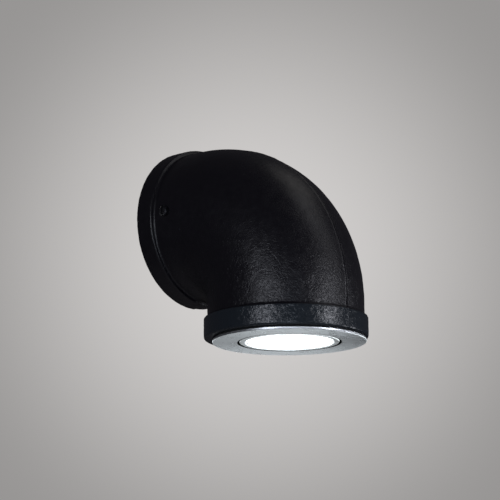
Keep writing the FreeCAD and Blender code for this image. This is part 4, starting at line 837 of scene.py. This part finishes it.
def backdrop():
    """World. As seen: a warm pale grey, brightest behind the light and darker outwards, of brightness
    dimmest + middle more (1 - t / reach) squared, never less than the dimmest, where t is the square of
    the angle off the brightest point, in half frames. As light: dim air."""
    right, up, back = VIEW
    across = (BRIGHTEST_PIXEL[0] - LOOK_AT_PIXEL[0]) / FOCAL_PIXELS
    above = (LOOK_AT_PIXEL[1] - BRIGHTEST_PIXEL[1]) / FOCAL_PIXELS
    middle = (right * across + up * above - back).normalized()
    half_frame = FRAME_PIXELS / 2 / FOCAL_PIXELS
    fall = 2 / half_frame**2 / REACH
    world = bpy.data.worlds.new("studio")
    bpy.context.scene.world = world
    world.use_nodes = True
    tree = world.node_tree
    tree.nodes.clear()
    ray = add(tree, "ShaderNodeTexCoord").outputs["Generated"]
    near = add(tree, "ShaderNodeVectorMath", {"operation": "DOT_PRODUCT"}, at0=ray, at1=middle)
    inner = add(
        tree,
        "ShaderNodeMath",
        {"operation": "MULTIPLY_ADD", "use_clamp": True},
        at0=near.outputs["Value"],
        at1=fall,
        at2=1 - fall,
    )
    inner = inner.outputs["Value"]
    squared = add(tree, "ShaderNodeMath", {"operation": "MULTIPLY"}, at0=inner, at1=inner)
    seen = add(
        tree,
        "ShaderNodeMath",
        {"operation": "MULTIPLY_ADD"},
        at0=squared.outputs["Value"],
        at1=MIDDLE_MORE,
        at2=DIMMEST,
    )
    wall = add(tree, "ShaderNodeBackground", Color=(1.0, 0.973, 0.958, 1), Strength=seen.outputs["Value"])
    air = add(tree, "ShaderNodeBackground", Color=linear("#d3d0de"), Strength=0.05)
    by_camera = add(tree, "ShaderNodeLightPath").outputs["Is Camera Ray"]
    both = add(tree, "ShaderNodeMixShader", at0=by_camera, at1=air.outputs[0], at2=wall.outputs[0])
    add(tree, "ShaderNodeOutputWorld", Surface=both.outputs[0])


def soft_light(name, azimuth, elevation, distance, width, height, power, colour, only=()):
    """A soft box that faces the elbow from an azimuth and elevation, and may light only some objects."""
    data = bpy.data.lights.new(name, "AREA")
    data.shape = "RECTANGLE"
    data.size, data.size_y = width, height
    data.energy = power
    data.color = linear(colour)[:3]
    lamp = bpy.data.objects.new(name, data)
    lamp.visible_camera = False
    if only:
        lit = bpy.data.collections.new(name)
        for thing in only:
            lit.objects.link(thing)
        lamp.light_linking.receiver_collection = lit
    stand(lamp, axes_from(azimuth, elevation), LIT_POINT, distance)


floor()
photo_camera()
backdrop()

# Soft boxes for everything: azimuth and elevation in degrees, distance, width and height in metres,
# power in watts and colour.
soft_light("left_box", -77, 4, 1.4, 0.5, 0.34, 3.7, "#eff3ff")
soft_light("left_low_box", -45, -13, 1.4, 0.34, 0.34, 2.35, "#e4efff")
soft_light("right_box", 12, 5, 1.4, 0.4, 0.34, 4.0, "#f4f6ff")
soft_light("right_low_box", 50, -12, 1.4, 0.34, 0.34, 3.2, "#f4f6ff")
soft_light("tall_box", 29, 42, 1.4, 0.34, 1.2, 1.15, "#fbfbff")
soft_light("top_box", 74, 62, 1.4, 0.7, 0.5, 0.5, "#fffdf8")

# The turned rings face down and mirror what lies low behind the light and before it. These boxes stand
# for the bright wall and the room there, and light the rings alone.
polished = [nodes["trim_ring"], nodes["bezel_ring"]]
soft_light("lit_wall", 148, -30, 1.4, 1.0, 0.9, 1.6, "#eef4f6", polished)
soft_light("lit_wall_side", 106, -29, 1.4, 0.5, 1.3, 5.2, "#eef4f6", polished)
soft_light("lit_wall_low", 134, -42, 1.4, 0.5, 0.4, 1.2, "#eef4f6", polished)
soft_light("lit_wall_far", 150, -4, 1.4, 0.3, 0.3, 0.95, "#eef4f6", polished)
soft_light("front_bounce", -52, -18, 1.2, 2.6, 1.2, 9.0, "#f3f6ff", polished)

# Fill from behind for the CAD's other nodes, so that the wall plate shows from the wall's side.
dull = [node for node in nodes.values() if node not in polished]
soft_light("back_fill", 160, 25, 1.4, 1.2, 0.9, 8, "#ffffff", dull)
soft_light("back_fill_low", 222, -22, 1.4, 1.2, 0.9, 5, "#ffffff", dull)
bpy.context.scene.view_settings.view_transform = "Standard"
